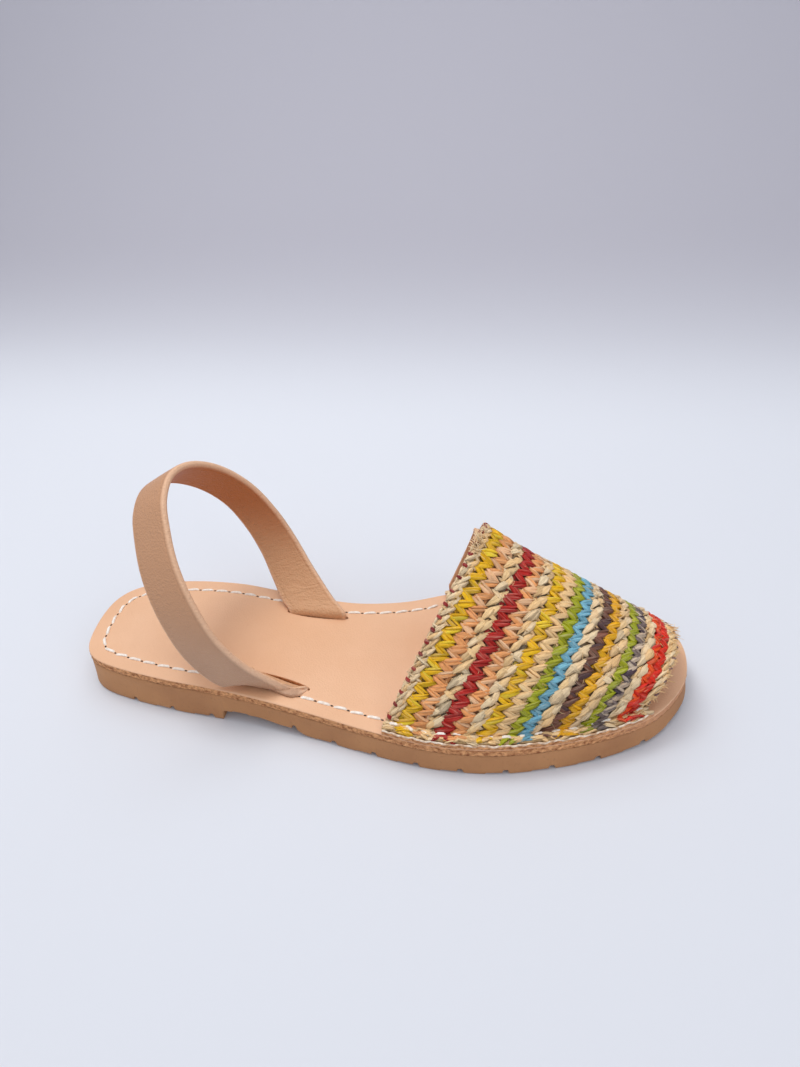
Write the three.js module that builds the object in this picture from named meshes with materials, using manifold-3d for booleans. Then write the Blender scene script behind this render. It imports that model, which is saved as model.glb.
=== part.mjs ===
// A right-foot slingback sandal: a flat rubber sole under a leather insole, a wide leather
// heel strap that comes up through two slits in the insole, and a woven raffia vamp with open
// throat and open toe. Millimetres: +X to the toe, +Y to the big-toe side, +Z up from the floor.
import * as THREE from "three";
import { mergeVertices } from "three/addons/utils/BufferGeometryUtils.js";
import Module from "manifold-3d";

const wasm = await Module();
wasm.setup();

// Driving dimensions
const SOLE_LENGTH = 246;
const BALL_WIDTH = 90;
const HEEL_SEAT_HEIGHT = 17; // floor to insole top under the heel
const WAIST_HEIGHT = 13.3; // floor to insole top at the arch
const BALL_HEIGHT = 12.4; // floor to insole top under the ball
const TOE_HEIGHT = 15; // floor to insole top at the toe tip
const TOE_SPRING = 2.6; // how far the toe tip of the outsole lifts off the floor
const INSOLE_THICKNESS = 3;
const GAP = 0.3; // between pieces that lie on each other
const OUTSOLE_FLARE = 0.9; // the outsole's foot stands out this far past the insole
const OUTSOLE_CHAMFER = 0.8;

const HEEL_BREAST_RISE = 5.2; // step at the front of the heel block
const GROOVE_WIDTH = 2.2;
const GROOVE_DEPTH = 1.8;
const HEEL_GROOVE_PITCH = 17.6;
const TREAD_GROOVE_PITCH = 16.2;

const VAMP_THICKNESS = 2.2; // woven raffia with its leather lining
const VAMP_FLANGE = 4.6; // margin that lies flat on the insole, lasted to its edge
const VAMP_EDGE_INSET = 0.5;
const VAMP_INSTEP = 52.5; // height of the throat's crown over the insole
const BRAID_RISE = 1.1; // how far a raffia strip stands out of the wall
const ARCH_COLUMNS = 40; // an even number: two columns make one tooth of a zigzag

const STRAP_WIDTH = 18.5;
const STRAP_THICKNESS = 2.8;
const STRAP_RISE = 68; // height of the strap's crown over the insole
const STRAP_TUCK = 5; // how far its ends go down below the insole's top
const STRAP_STATIONS = 52;
const SLIT_LENGTH = 25.4;
const SLIT_CLEARANCE = 0.6; // on each side of the strap

// Sole outline: places along the length, and where the two edges lie, as shares of
// SOLE_LENGTH and BALL_WIDTH. The lateral edge is the little-toe side.
const OUTLINE = [
  { along: 0.006, lateral: -0.078, medial: 0.19 },
  { along: 0.02, lateral: -0.182, medial: 0.252 },
  { along: 0.05, lateral: -0.238, medial: 0.308 },
  { along: 0.11, lateral: -0.282, medial: 0.354 },
  { along: 0.2, lateral: -0.322, medial: 0.366 },
  { along: 0.31, lateral: -0.351, medial: 0.337 },
  { along: 0.43, lateral: -0.4, medial: 0.313 },
  { along: 0.53, lateral: -0.456, medial: 0.354 },
  { along: 0.62, lateral: -0.493, medial: 0.453 },
  { along: 0.71, lateral: -0.486, medial: 0.503 },
  { along: 0.8, lateral: -0.427, medial: 0.471 },
  { along: 0.88, lateral: -0.341, medial: 0.411 },
  { along: 0.94, lateral: -0.242, medial: 0.347 },
  { along: 0.975, lateral: -0.126, medial: 0.282 },
  { along: 0.993, lateral: -0.029, medial: 0.219 },
];
const HEEL_TIP = { along: 0, across: 0.072 };
const TOE_TIP = { along: 1, across: 0.106 };
const OUTLINE_POINTS = 96;

// Heights of the insole's top along the sole.
const TOP_LINE = [
  { along: 0, height: HEEL_SEAT_HEIGHT },
  { along: 0.24, height: HEEL_SEAT_HEIGHT },
  { along: 0.35, height: (HEEL_SEAT_HEIGHT + WAIST_HEIGHT) / 2 },
  { along: 0.45, height: WAIST_HEIGHT },
  { along: 0.61, height: BALL_HEIGHT },
  { along: 0.87, height: BALL_HEIGHT },
  { along: 1, height: TOE_HEIGHT },
];

// Underside along the sole: lift is a share of HEEL_BREAST_RISE, spring of TOE_SPRING.
const UNDERSIDE = [
  { along: 0, lift: 0, spring: 0 },
  { along: 0.272, lift: 0, spring: 0 },
  { along: 0.275, lift: 1, spring: 0 },
  { along: 0.34, lift: 1, spring: 0 },
  { along: 0.375, lift: 0.66, spring: 0 },
  { along: 0.4, lift: 0.6, spring: 0 },
  { along: 0.415, lift: 0.14, spring: 0 },
  { along: 0.44, lift: 0, spring: 0 },
  { along: 0.85, lift: 0, spring: 0 },
  { along: 0.92, lift: 0, spring: 0.27 },
  { along: 0.97, lift: 0, spring: 0.7 },
  { along: 1, lift: 0, spring: 1 },
];

// Where the grooves of the heel block and of the forepart start and stop along the sole.
const GROOVE_RUNS = [
  { from: 0.108, to: 0.265, pitch: HEEL_GROOVE_PITCH },
  { from: 0.398, to: 0.96, pitch: TREAD_GROOVE_PITCH },
];

// Crown of the vamp from throat to toe: along as a share of SOLE_LENGTH, across of
// BALL_WIDTH, rise of VAMP_INSTEP over the insole's top.
const CROWN = [
  { vamp: 0, along: 0.673, across: 0.161, rise: 1.0 },
  { vamp: 0.25, along: 0.75, across: 0.098, rise: 0.782 },
  { vamp: 0.5, along: 0.826, across: 0.044, rise: 0.622 },
  { vamp: 0.75, along: 0.9, across: -0.005, rise: 0.468 },
  { vamp: 1, along: 0.969, across: -0.03, rise: 0.3 },
];
// Where the vamp's feet start at the throat and end at the toe, along the sole.
const LATERAL_FOOT = { throat: 0.547, toe: 0.935 };
const MEDIAL_FOOT = { throat: 0.602, toe: 0.961 };
// Powers that turn a half circle into the arch of the vamp.
const ARCH_SPREAD = 1.1;
const ARCH_PEAK = 1.25;

// The raffia strips of the vamp, throat to toe, by their width on the crown.
const STRIPS = [
  { kind: "edge", width: 3.4 },
  { kind: "zigzag", width: 9.6 },
  { kind: "twist", width: 4.4 },
  { kind: "zigzag", width: 9.6 },
  { kind: "twist", width: 4.4 },
  { kind: "zigzag", width: 9.6 },
  { kind: "zigzag", width: 8 },
  { kind: "twist", width: 4.4 },
  { kind: "zigzag", width: 8 },
  { kind: "twist", width: 4.4 },
  { kind: "zigzag", width: 7.6 },
  { kind: "twist", width: 4 },
  { kind: "zigzag", width: 6.4 },
  { kind: "edge", width: 4 },
];

// The two slits that the strap passes through: centre, and the line that they are cut along.
const SLITS = {
  lateral: { along: 0.362, across: -0.245, heading: -0.175 },
  medial: { along: 0.384, across: 0.201, heading: 0.012 },
};

// The strap's path from the lateral to the medial slit. Centre: along as a share of
// SOLE_LENGTH, across of BALL_WIDTH, rise of STRAP_RISE over the insole at the slits.
// Lead, splay and tip are its front edge seen from the centre, in half strap widths.
const STRAP_PATH = [
  { along: 0.3435, across: -0.289, rise: 0.058, lead: 1.28, splay: -0.07, tip: -0.02 },
  { along: 0.314, across: -0.328, rise: 0.108, lead: 0.93, splay: 0, tip: 0.42 },
  { along: 0.268, across: -0.339, rise: 0.318, lead: 0.86, splay: 0, tip: 0.51 },
  { along: 0.2325, across: -0.292, rise: 0.541, lead: 0.87, splay: -0.01, tip: 0.5 },
  { along: 0.205, across: -0.21, rise: 0.717, lead: 0.87, splay: -0.03, tip: 0.5 },
  { along: 0.186, across: -0.112, rise: 0.852, lead: 0.87, splay: -0.06, tip: 0.5 },
  { along: 0.172, across: -0.006, rise: 0.961, lead: 0.86, splay: -0.08, tip: 0.51 },
  { along: 0.168, across: 0.12, rise: 1.012, lead: 0.85, splay: -0.07, tip: 0.53 },
  { along: 0.179, across: 0.261, rise: 0.973, lead: 0.84, splay: -0.09, tip: 0.54 },
  { along: 0.208, across: 0.372, rise: 0.855, lead: 0.8, splay: -0.11, tip: 0.59 },
  { along: 0.244, across: 0.428, rise: 0.692, lead: 0.81, splay: -0.07, tip: 0.57 },
  { along: 0.277, across: 0.428, rise: 0.511, lead: 0.86, splay: -0.01, tip: 0.51 },
  { along: 0.303, across: 0.403, rise: 0.342, lead: 0.9, splay: 0.06, tip: 0.46 },
  { along: 0.333, across: 0.332, rise: 0.172, lead: 1.0, splay: 0.16, tip: 0.34 },
  { along: 0.365, across: 0.245, rise: 0.058, lead: 1.24, splay: 0.12, tip: 0.08 },
];

// Straight-line reading of a table: the value of `column` at `at` in column `key`.
function readTable(table, key, at, column) {
  const last = table.length - 1;
  if (at <= table[0][key]) return table[0][column];
  if (at >= table[last][key]) return table[last][column];
  const i = table.findIndex((row) => row[key] >= at);
  const [a, b] = [table[i - 1], table[i]];
  return THREE.MathUtils.mapLinear(at, a[key], b[key], a[column], b[column]);
}

// A smooth curve through one column of a table whose rows are evenly spaced.
function smoothColumn(table, column) {
  const points = table.map((row) => new THREE.Vector3(row[column], 0, 0));
  const curve = new THREE.CatmullRomCurve3(points);
  return (share) => curve.getPoint(share).x;
}

const insoleTop = (x) => readTable(TOP_LINE, "along", x / SOLE_LENGTH, "height");

function soleBottom(x) {
  const lift = readTable(UNDERSIDE, "along", x / SOLE_LENGTH, "lift");
  const spring = readTable(UNDERSIDE, "along", x / SOLE_LENGTH, "spring");
  return lift * HEEL_BREAST_RISE + spring * TOE_SPRING;
}

// The sole's outline, counter-clockwise seen from above.
function soleOutline() {
  const at = (along, across) => new THREE.Vector3(along * SOLE_LENGTH, across * BALL_WIDTH, 0);
  const knots = [
    at(HEEL_TIP.along, HEEL_TIP.across),
    ...OUTLINE.map((row) => at(row.along, row.lateral)),
    at(TOE_TIP.along, TOE_TIP.across),
    ...[...OUTLINE].reverse().map((row) => at(row.along, row.medial)),
  ];
  const curve = new THREE.CatmullRomCurve3(knots, true, "centripetal");
  return curve.getSpacedPoints(OUTLINE_POINTS).slice(0, OUTLINE_POINTS);
}
const outline = soleOutline();

// A point of the outline moved outwards by `offset`.
function offsetPoint(i, offset) {
  const before = outline[(i + OUTLINE_POINTS - 1) % OUTLINE_POINTS];
  const after = outline[(i + 1) % OUTLINE_POINTS];
  const along = after.clone().sub(before).normalize();
  const outward = new THREE.Vector3(along.y, -along.x, 0);
  return outline[i].clone().addScaledVector(outward, offset);
}

// Where the sole's edge lies at x on one side, with the direction that points inwards.
function edgeAt(x, side) {
  const row = (i) => outline[(i + OUTLINE_POINTS) % OUTLINE_POINTS];
  for (let i = 0; i < OUTLINE_POINTS; i++) {
    const a = row(i);
    const b = row(i + 1);
    const forward = b.x > a.x;
    if (forward !== (side === "lateral")) continue;
    const low = Math.min(a.x, b.x);
    const high = Math.max(a.x, b.x);
    if (x < low || x > high) continue;
    const point = a.clone().lerp(b, (x - a.x) / (b.x - a.x));
    const along = b.clone().sub(a).normalize();
    return { point, inward: new THREE.Vector3(-along.y, along.x, 0) };
  }
  throw new Error("no sole edge at " + x);
}

// Solids

function closedGeometry(points, triangles) {
  const geometry = new THREE.BufferGeometry();
  geometry.setAttribute(
    "position",
    new THREE.Float32BufferAttribute(points.flatMap((p) => [p.x, p.y, p.z]), 3),
  );
  geometry.setIndex(triangles.flat());
  return geometry;
}

function toSolid(geometry) {
  const plain = geometry.clone();
  plain.deleteAttribute("normal");
  plain.deleteAttribute("uv");
  const merged = mergeVertices(plain, 1e-4);
  return new wasm.Manifold(
    new wasm.Mesh({
      numProp: 3,
      vertProperties: new Float32Array(merged.attributes.position.array),
      triVerts: new Uint32Array(merged.index.array),
    }),
  );
}

function toGeometry(solid) {
  const mesh = solid.getMesh();
  const geometry = new THREE.BufferGeometry();
  geometry.setAttribute("position", new THREE.BufferAttribute(mesh.vertProperties, 3));
  geometry.setIndex(new THREE.BufferAttribute(mesh.triVerts, 1));
  return geometry;
}

// Joins rings of equal length into one closed skin, with a cap on the first and last ring.
function loftRings(rings) {
  const count = rings[0].length;
  const triangles = [];
  for (let r = 0; r + 1 < rings.length; r++)
    for (let i = 0; i < count; i++) {
      const a = r * count + i;
      const b = r * count + ((i + 1) % count);
      triangles.push([a, b, b + count], [a, b + count, a + count]);
    }
  return { points: rings.flat(), triangles, count };
}

// The outline swept up through a list of { height, offset } rows.
function outlinePrism(rows) {
  const rings = rows.map(({ height, offset }) =>
    outline.map((_, i) => offsetPoint(i, offset).setZ(height)),
  );
  const { points, triangles, count } = loftRings(rings);
  const cap = THREE.ShapeUtils.triangulateShape(
    outline.map((p) => new THREE.Vector2(p.x, p.y)),
    [],
  );
  const top = (rings.length - 1) * count;
  for (const [a, b, c] of cap) {
    triangles.push([c, b, a]);
    triangles.push([top + a, top + b, top + c]);
  }
  return toSolid(closedGeometry(points, triangles));
}

// A side profile, seen from the little-toe side, pushed through the whole width of the sole.
function sideProfileSolid(profile) {
  const shape = new THREE.Shape(profile.map(([x, z]) => new THREE.Vector2(x, z)));
  const reach = 2 * BALL_WIDTH;
  const geometry = new THREE.ExtrudeGeometry(shape, { depth: reach, bevelEnabled: false });
  geometry.rotateX(Math.PI / 2);
  geometry.translate(0, reach / 2, 0);
  return toSolid(geometry);
}

const tableXs = (table) => table.map((row) => row.along * SOLE_LENGTH);

// The profile's ends stand out past the heel and the toe, so that the outline trims them.
function profileXs(table) {
  const xs = tableXs(table);
  xs[0] -= BALL_WIDTH / 2;
  xs[xs.length - 1] += BALL_WIDTH / 2;
  return xs;
}

// A cutter along a slit, from `low` to `high`, that clears the strap all round.
function slitCutter(side, low, high) {
  const slit = SLITS[side];
  const geometry = new THREE.BoxGeometry(
    SLIT_LENGTH + 2 * SLIT_CLEARANCE,
    STRAP_THICKNESS + 2 * SLIT_CLEARANCE,
    high - low,
  );
  geometry.rotateZ(slit.heading);
  geometry.translate(slit.along * SOLE_LENGTH, slit.across * BALL_WIDTH, (low + high) / 2);
  return toSolid(geometry);
}

const slitTop = (side) => insoleTop(SLITS[side].along * SOLE_LENGTH);
const strapEndHeight = (side) => slitTop(side) - STRAP_TUCK;

// Rubber outsole: heel block, raised waist, grooved tread, toe spring, and two pockets for
// the ends of the strap.
function outsole() {
  const topOf = (x) => insoleTop(x) - INSOLE_THICKNESS - GAP;
  const profile = [
    ...profileXs(UNDERSIDE).map((x) => [x, soleBottom(x)]),
    ...profileXs(TOP_LINE).reverse().map((x) => [x, topOf(x)]),
  ];
  const tallest = Math.max(HEEL_SEAT_HEIGHT, TOE_HEIGHT);
  let body = outlinePrism([
    { height: 0, offset: OUTSOLE_FLARE - OUTSOLE_CHAMFER },
    { height: OUTSOLE_CHAMFER, offset: OUTSOLE_FLARE },
    { height: BALL_HEIGHT / 2, offset: OUTSOLE_FLARE / 2 },
    { height: tallest, offset: 0 },
  ]).intersect(sideProfileSolid(profile));
  for (const { from, to, pitch } of GROOVE_RUNS)
    for (let x = from * SOLE_LENGTH; x < to * SOLE_LENGTH; x += pitch) {
      const groove = new THREE.BoxGeometry(GROOVE_WIDTH, 2 * BALL_WIDTH, 2 * GROOVE_DEPTH);
      groove.translate(x, 0, soleBottom(x));
      body = body.subtract(toSolid(groove));
    }
  for (const side of Object.keys(SLITS))
    body = body.subtract(slitCutter(side, strapEndHeight(side) - GAP, tallest));
  return toGeometry(body);
}

// Leather insole: one sheet of even thickness with two slits.
function insole() {
  const xs = profileXs(TOP_LINE);
  const profile = [
    ...xs.map((x) => [x, insoleTop(x) - INSOLE_THICKNESS]),
    ...xs.reverse().map((x) => [x, insoleTop(x)]),
  ];
  const tallest = Math.max(HEEL_SEAT_HEIGHT, TOE_HEIGHT) + INSOLE_THICKNESS;
  let sheet = outlinePrism([
    { height: 0, offset: 0 },
    { height: tallest, offset: 0 },
  ]).intersect(sideProfileSolid(profile));
  for (const side of Object.keys(SLITS)) sheet = sheet.subtract(slitCutter(side, 0, tallest));
  return toGeometry(sheet);
}

// Heel strap: one band of leather, its ends straight down through the slits.
function heelStrap() {
  const half = STRAP_WIDTH / 2;
  const slitRow = (side, height) => {
    const slit = SLITS[side];
    const reach = SLIT_LENGTH / STRAP_WIDTH;
    const [x, y] = [slit.along * SOLE_LENGTH, slit.across * BALL_WIDTH];
    return {
      centre: new THREE.Vector3(x, y, height),
      edge: new THREE.Vector3(Math.cos(slit.heading) * reach, Math.sin(slit.heading) * reach, 0),
    };
  };
  const base = (slitTop("lateral") + slitTop("medial")) / 2;
  const rows = [
    slitRow("lateral", strapEndHeight("lateral")),
    slitRow("lateral", slitTop("lateral") - STRAP_TUCK / 5),
    slitRow("lateral", slitTop("lateral") + STRAP_THICKNESS / 2),
    ...STRAP_PATH.map((row) => ({
      centre: new THREE.Vector3(
        row.along * SOLE_LENGTH,
        row.across * BALL_WIDTH,
        base + row.rise * STRAP_RISE,
      ),
      edge: new THREE.Vector3(row.lead, row.splay, row.tip),
    })),
    slitRow("medial", slitTop("medial") + STRAP_THICKNESS / 2),
    slitRow("medial", slitTop("medial") - STRAP_TUCK / 5),
    slitRow("medial", strapEndHeight("medial")),
  ];
  const centres = new THREE.CatmullRomCurve3(rows.map((row) => row.centre), false, "centripetal");
  const edges = new THREE.CatmullRomCurve3(rows.map((row) => row.edge));
  const round = STRAP_THICKNESS / 4;
  const [w, h] = [1, STRAP_THICKNESS / 2];
  const shy = 1 - round / half;
  const section = [
    [-shy, -h],
    [shy, -h],
    [w, -h + round],
    [w, h - round],
    [shy, h],
    [-shy, h],
    [-w, h - round],
    [-w, -h + round],
  ];
  const spans = rows.length - 1;
  const rings = [];
  for (let i = 0; i <= STRAP_STATIONS; i++) {
    const share = i / STRAP_STATIONS;
    const tangent = centres.getTangent(share);
    const edge = edges.getPoint(Math.min(share, 1 - 1e-9)).multiplyScalar(half);
    const normal = tangent.clone().cross(edge).normalize();
    const centre = centres.getPoint(share);
    rings.push(
      section.map(([across, out]) =>
        centre.clone().addScaledVector(edge, across).addScaledVector(normal, out),
      ),
    );
  }
  const { points, triangles, count } = loftRings(rings);
  const top = (rings.length - 1) * count;
  for (let i = 1; i + 1 < count; i++) {
    triangles.push([0, i + 1, i]);
    triangles.push([top, top + i, top + i + 1]);
  }
  return closedGeometry(points, triangles);
}

// Raffia vamp: one wall from the lateral margin over the instep to the medial margin.

// Sections of the strips: place across the strip, how far it stands out there as a share of
// BRAID_RISE, and how far that place swings to and fro, as a share of the strip's width. A
// zigzag strip is two cords side by side that swing together.
const STRIP_SECTIONS = {
  edge: [{ at: 0.5, rise: 0.8, swing: 0 }],
  twist: [{ at: 0.5, rise: 1.1, swing: 0 }],
  zigzag: [
    { at: 0.27, rise: 1, swing: 0.13 },
    { at: 0.5, rise: 0.45, swing: 0.13 },
    { at: 0.73, rise: 1, swing: 0.13 },
  ],
};

// The rows that cross the vamp, throat to toe, by their share of its length.
function stripRows() {
  const total = STRIPS.reduce((sum, strip) => sum + strip.width, 0);
  const rows = [];
  let start = 0;
  for (const { kind, width } of STRIPS) {
    rows.push({ share: start / total, rise: 0, swing: 0 });
    for (const { at, rise, swing } of STRIP_SECTIONS[kind])
      rows.push({ share: (start + at * width) / total, rise, swing: (swing * width) / total });
    start += width;
  }
  rows.push({ share: 1, rise: 0, swing: 0 });
  return rows;
}

const crownAlong = smoothColumn(CROWN, "along");
const crownAcross = smoothColumn(CROWN, "across");
const crownRise = smoothColumn(CROWN, "rise");
const power = (value, exponent) => Math.sign(value) * Math.abs(value) ** exponent;

// One foot of the vamp: the outer edge of its margin and the point where the wall rises.
function vampFoot(side, share) {
  const ends = side === "lateral" ? LATERAL_FOOT : MEDIAL_FOOT;
  const x = THREE.MathUtils.lerp(ends.throat, ends.toe, share) * SOLE_LENGTH;
  const { point, inward } = edgeAt(x, side);
  const outer = point.clone().addScaledVector(inward, VAMP_EDGE_INSET);
  const inner = point.clone().addScaledVector(inward, VAMP_FLANGE);
  outer.z = insoleTop(outer.x) + GAP + VAMP_THICKNESS;
  inner.z = insoleTop(inner.x) + GAP + VAMP_THICKNESS;
  return { outer, inner };
}

// Smooth outer skin of the vamp across one row: margin, arch, margin.
function vampSection(share, arch) {
  const lateral = vampFoot("lateral", share);
  const medial = vampFoot("medial", share);
  const x = crownAlong(share) * SOLE_LENGTH;
  const crown = new THREE.Vector3(
    x,
    crownAcross(share) * BALL_WIDTH,
    insoleTop(x) + crownRise(share) * VAMP_INSTEP,
  );
  const middle = lateral.inner.clone().lerp(medial.inner, 0.5);
  const rise = crown.sub(middle);
  const section = [lateral.outer, lateral.outer.clone().lerp(lateral.inner, 0.6)];
  for (const turn of arch) {
    const across = (1 - power(Math.cos(turn), ARCH_SPREAD)) / 2;
    const up = power(Math.sin(turn), ARCH_PEAK);
    section.push(lateral.inner.clone().lerp(medial.inner, across).addScaledVector(rise, up));
  }
  section.push(medial.outer.clone().lerp(medial.inner, 0.6), medial.outer);
  return section;
}

function raffiaVamp() {
  const arch = [];
  for (let i = 0; i <= ARCH_COLUMNS; i++) arch.push((Math.PI * i) / ARCH_COLUMNS);
  const rows = stripRows();
  const columns = ARCH_COLUMNS + 5;
  const margin = 2;
  const onArch = (j) => j > margin && j < columns - 1 - margin;
  const shareAt = (row, j) => {
    const sway = j % 2 ? 1 : -1;
    return onArch(j) ? row.share + row.swing * sway : row.share;
  };
  const skin = rows.map((row) =>
    Array.from({ length: columns }, (_, j) => vampSection(shareAt(row, j), arch)[j]),
  );
  const smooth = rows.map((row) => vampSection(row.share, arch));
  const normalAt = (i, j) => {
    if (j < margin || j >= columns - margin) return new THREE.Vector3(0, 0, 1);
    const [up, down] = [Math.min(i + 1, rows.length - 1), Math.max(i - 1, 0)];
    const along = smooth[up][j].clone().sub(smooth[down][j]);
    const across = smooth[i][j + 1].clone().sub(smooth[i][j - 1]);
    return along.cross(across).normalize();
  };
  const outer = [];
  const inner = [];
  rows.forEach((row, i) => {
    for (let j = 0; j < columns; j++) {
      const normal = normalAt(i, j);
      const pressed = onArch(j) ? 1 : 0.35;
      outer.push(skin[i][j].clone().addScaledVector(normal, row.rise * pressed * BRAID_RISE));
      inner.push(smooth[i][j].clone().addScaledVector(normal, -VAMP_THICKNESS));
    }
  });
  const triangles = [];
  const quad = (a, b, c, d) => triangles.push([a, b, c], [a, c, d]);
  const under = outer.length;
  const at = (i, j) => i * columns + j;
  for (let i = 0; i + 1 < rows.length; i++)
    for (let j = 0; j + 1 < columns; j++) {
      quad(at(i, j), at(i + 1, j), at(i + 1, j + 1), at(i, j + 1));
      quad(
        under + at(i, j),
        under + at(i, j + 1),
        under + at(i + 1, j + 1),
        under + at(i + 1, j),
      );
    }
  const rim = [];
  for (let j = 0; j < columns; j++) rim.push(at(0, j));
  for (let i = 1; i < rows.length; i++) rim.push(at(i, columns - 1));
  for (let j = columns - 2; j >= 0; j--) rim.push(at(rows.length - 1, j));
  for (let i = rows.length - 2; i > 0; i--) rim.push(at(i, 0));
  rim.forEach((a, i) => {
    const b = rim[(i + 1) % rim.length];
    quad(a, b, under + b, under + a);
  });
  return closedGeometry([...outer, ...inner], triangles);
}

// The assembly

function piece(name, geometry, color, roughness) {
  const material = new THREE.MeshStandardMaterial({ color, roughness, metalness: 0 });
  const mesh = new THREE.Mesh(geometry, material);
  mesh.name = name;
  return mesh;
}

const sandal = new THREE.Group();
sandal.add(
  piece("outsole", outsole(), 0xa97a57, 0.85),
  piece("insole", insole(), 0xdcab85, 0.6),
  piece("raffia_vamp", raffiaVamp(), 0xd8b46a, 0.75),
  piece("heel_strap", heelStrap(), 0xc39a76, 0.6),
);

// The origin is on the floor, under the middle of the whole sandal.
const bounds = new THREE.Box3().setFromObject(sandal);
const middle = bounds.getCenter(new THREE.Vector3());
sandal.position.set(-middle.x, -middle.y, -bounds.min.z);

const part = new THREE.Group();
part.add(sandal);
export default part;
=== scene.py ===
import math

import bmesh
import bpy
import numpy as np
from mathutils import Matrix, Vector
from mathutils.geometry import delaunay_2d_cdt


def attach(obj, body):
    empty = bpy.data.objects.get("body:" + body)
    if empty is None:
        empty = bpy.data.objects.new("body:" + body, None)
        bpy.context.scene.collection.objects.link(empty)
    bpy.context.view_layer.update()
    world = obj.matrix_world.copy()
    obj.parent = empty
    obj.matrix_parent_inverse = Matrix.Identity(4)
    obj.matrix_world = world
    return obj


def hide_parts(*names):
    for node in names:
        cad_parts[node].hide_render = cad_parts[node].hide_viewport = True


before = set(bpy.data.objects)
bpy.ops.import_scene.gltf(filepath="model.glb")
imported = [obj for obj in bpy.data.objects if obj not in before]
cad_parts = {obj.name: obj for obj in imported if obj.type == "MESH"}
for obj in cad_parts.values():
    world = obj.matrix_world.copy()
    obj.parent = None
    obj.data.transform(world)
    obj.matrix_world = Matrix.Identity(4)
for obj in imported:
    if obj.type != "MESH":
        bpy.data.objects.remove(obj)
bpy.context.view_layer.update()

# The view
# One sandal stands on a pale paper sweep, seen from the little-toe side and from above.
# The camera has the photograph's angle and its slight roll.
PHOTO_HEIGHT = 1067
FOCAL_PIXELS = 752.7
CAMERA_PLACE = Vector((0.06096, -0.21701, 0.2295))
CAMERA_LOOKS = Vector((-0.1713, 0.7986, -0.5770)).normalized()
CAMERA_ROLL = math.radians(4.31)
SENSOR = 36.0

camera_data = bpy.data.cameras.new("camera")
camera_data.sensor_width = SENSOR
camera_data.lens = SENSOR * FOCAL_PIXELS / PHOTO_HEIGHT
camera_data.clip_start = 0.01
camera = bpy.data.objects.new("camera", camera_data)
bpy.context.scene.collection.objects.link(camera)
level = CAMERA_LOOKS.cross(Vector((0, 0, 1))).normalized()
upright = level.cross(CAMERA_LOOKS)
picture_up = upright * math.cos(CAMERA_ROLL) + level * math.sin(CAMERA_ROLL)
picture_right = level * math.cos(CAMERA_ROLL) - upright * math.sin(CAMERA_ROLL)
camera.matrix_world = Matrix.Translation(CAMERA_PLACE) @ Matrix(
    (picture_right, picture_up, -CAMERA_LOOKS)
).transposed().to_4x4()
bpy.context.scene.camera = camera
bpy.context.scene.view_settings.view_transform = "Standard"


def colour(red, green, blue):
    """A colour given as it looks on a screen, 0 to 255."""
    parts = [c / 255 for c in (red, green, blue)]
    return tuple(c / 12.92 if c < 0.04045 else ((c + 0.055) / 1.055) ** 2.4 for c in parts) + (1,)


def node(tree, kind, values=None, **settings):
    """A shader node. Each value is a number, a colour or the socket that feeds the input."""
    made = tree.nodes.new(kind)
    for key, value in settings.items():
        setattr(made, key, value)
    for key, value in (values or {}).items():
        if isinstance(value, bpy.types.NodeSocket):
            tree.links.new(value, made.inputs[key])
        else:
            made.inputs[key].default_value = value
    return made


def new_finish(name, roughness):
    """A new material with its tree and its surface shader."""
    material = bpy.data.materials.new(name)
    material.use_nodes = True
    shader = material.node_tree.nodes["Principled BSDF"]
    shader.inputs["Roughness"].default_value = roughness
    return material, material.node_tree, shader


def ranged(tree, value, start, end, low=0.0, high=1.0, curve="LINEAR"):
    """A value that goes from low to high while another goes from start to end."""
    return node(tree, "ShaderNodeMapRange", {
        "Value": value, "From Min": start, "From Max": end, "To Min": low, "To Max": high},
        interpolation_type=curve).outputs["Result"]


def blended(tree, share, first, second):
    """Two colours blended, with a share of the second."""
    return node(tree, "ShaderNodeMix", {
        "Factor": share, "A": first, "B": second}, data_type="RGBA").outputs["Result"]


def mesh_piece(name, points, faces, material=None):
    """A smooth-shaded mesh object."""
    mesh = bpy.data.meshes.new(name)
    mesh.from_pydata(np.asarray(points).tolist(), [], [tuple(f) for f in faces])
    mesh.validate()
    work = bmesh.new()
    work.from_mesh(mesh)
    bmesh.ops.recalc_face_normals(work, faces=work.faces)
    work.to_mesh(mesh)
    work.free()
    mesh.polygons.foreach_set("use_smooth", [True] * len(mesh.polygons))
    mesh.update()
    piece = bpy.data.objects.new(name, mesh)
    bpy.context.scene.collection.objects.link(piece)
    if material:
        mesh.materials.append(material)
    return piece


SWEEP_FRONT = -1.6
SWEEP_BEND = 0.36
SWEEP_RADIUS = 0.42
SHADE_FROM = 0.2
SHADE_TO = 0.56
SWEEP_TOP = 2.4
SWEEP_HALF_WIDTH = 3.0
sweep_line = [(SWEEP_FRONT, 0.0)]
for turn in np.linspace(0, math.pi / 2, 25):
    sweep_line.append(
        (SWEEP_BEND + SWEEP_RADIUS * math.sin(turn), SWEEP_RADIUS * (1 - math.cos(turn)))
    )
sweep_line.append((SWEEP_BEND + SWEEP_RADIUS, SWEEP_TOP))
sweep_points = [(side * SWEEP_HALF_WIDTH, y, z) for y, z in sweep_line for side in (-1, 1)]
sweep_faces = [
    (2 * i, 2 * i + 1, 2 * i + 3, 2 * i + 2) for i in range(len(sweep_line) - 1)
]
paper, tree, shader = new_finish("pale_paper", 0.95)
place = node(tree, "ShaderNodeTexCoord").outputs["Object"]
parts = node(tree, "ShaderNodeSeparateXYZ", {"Vector": place})
# The paper darkens farther back, up the curve and the wall behind: painted shade for the light's
# falloff.
far_off = ranged(tree, parts.outputs["Y"], SHADE_FROM, SHADE_TO, curve="SMOOTHSTEP")
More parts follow.
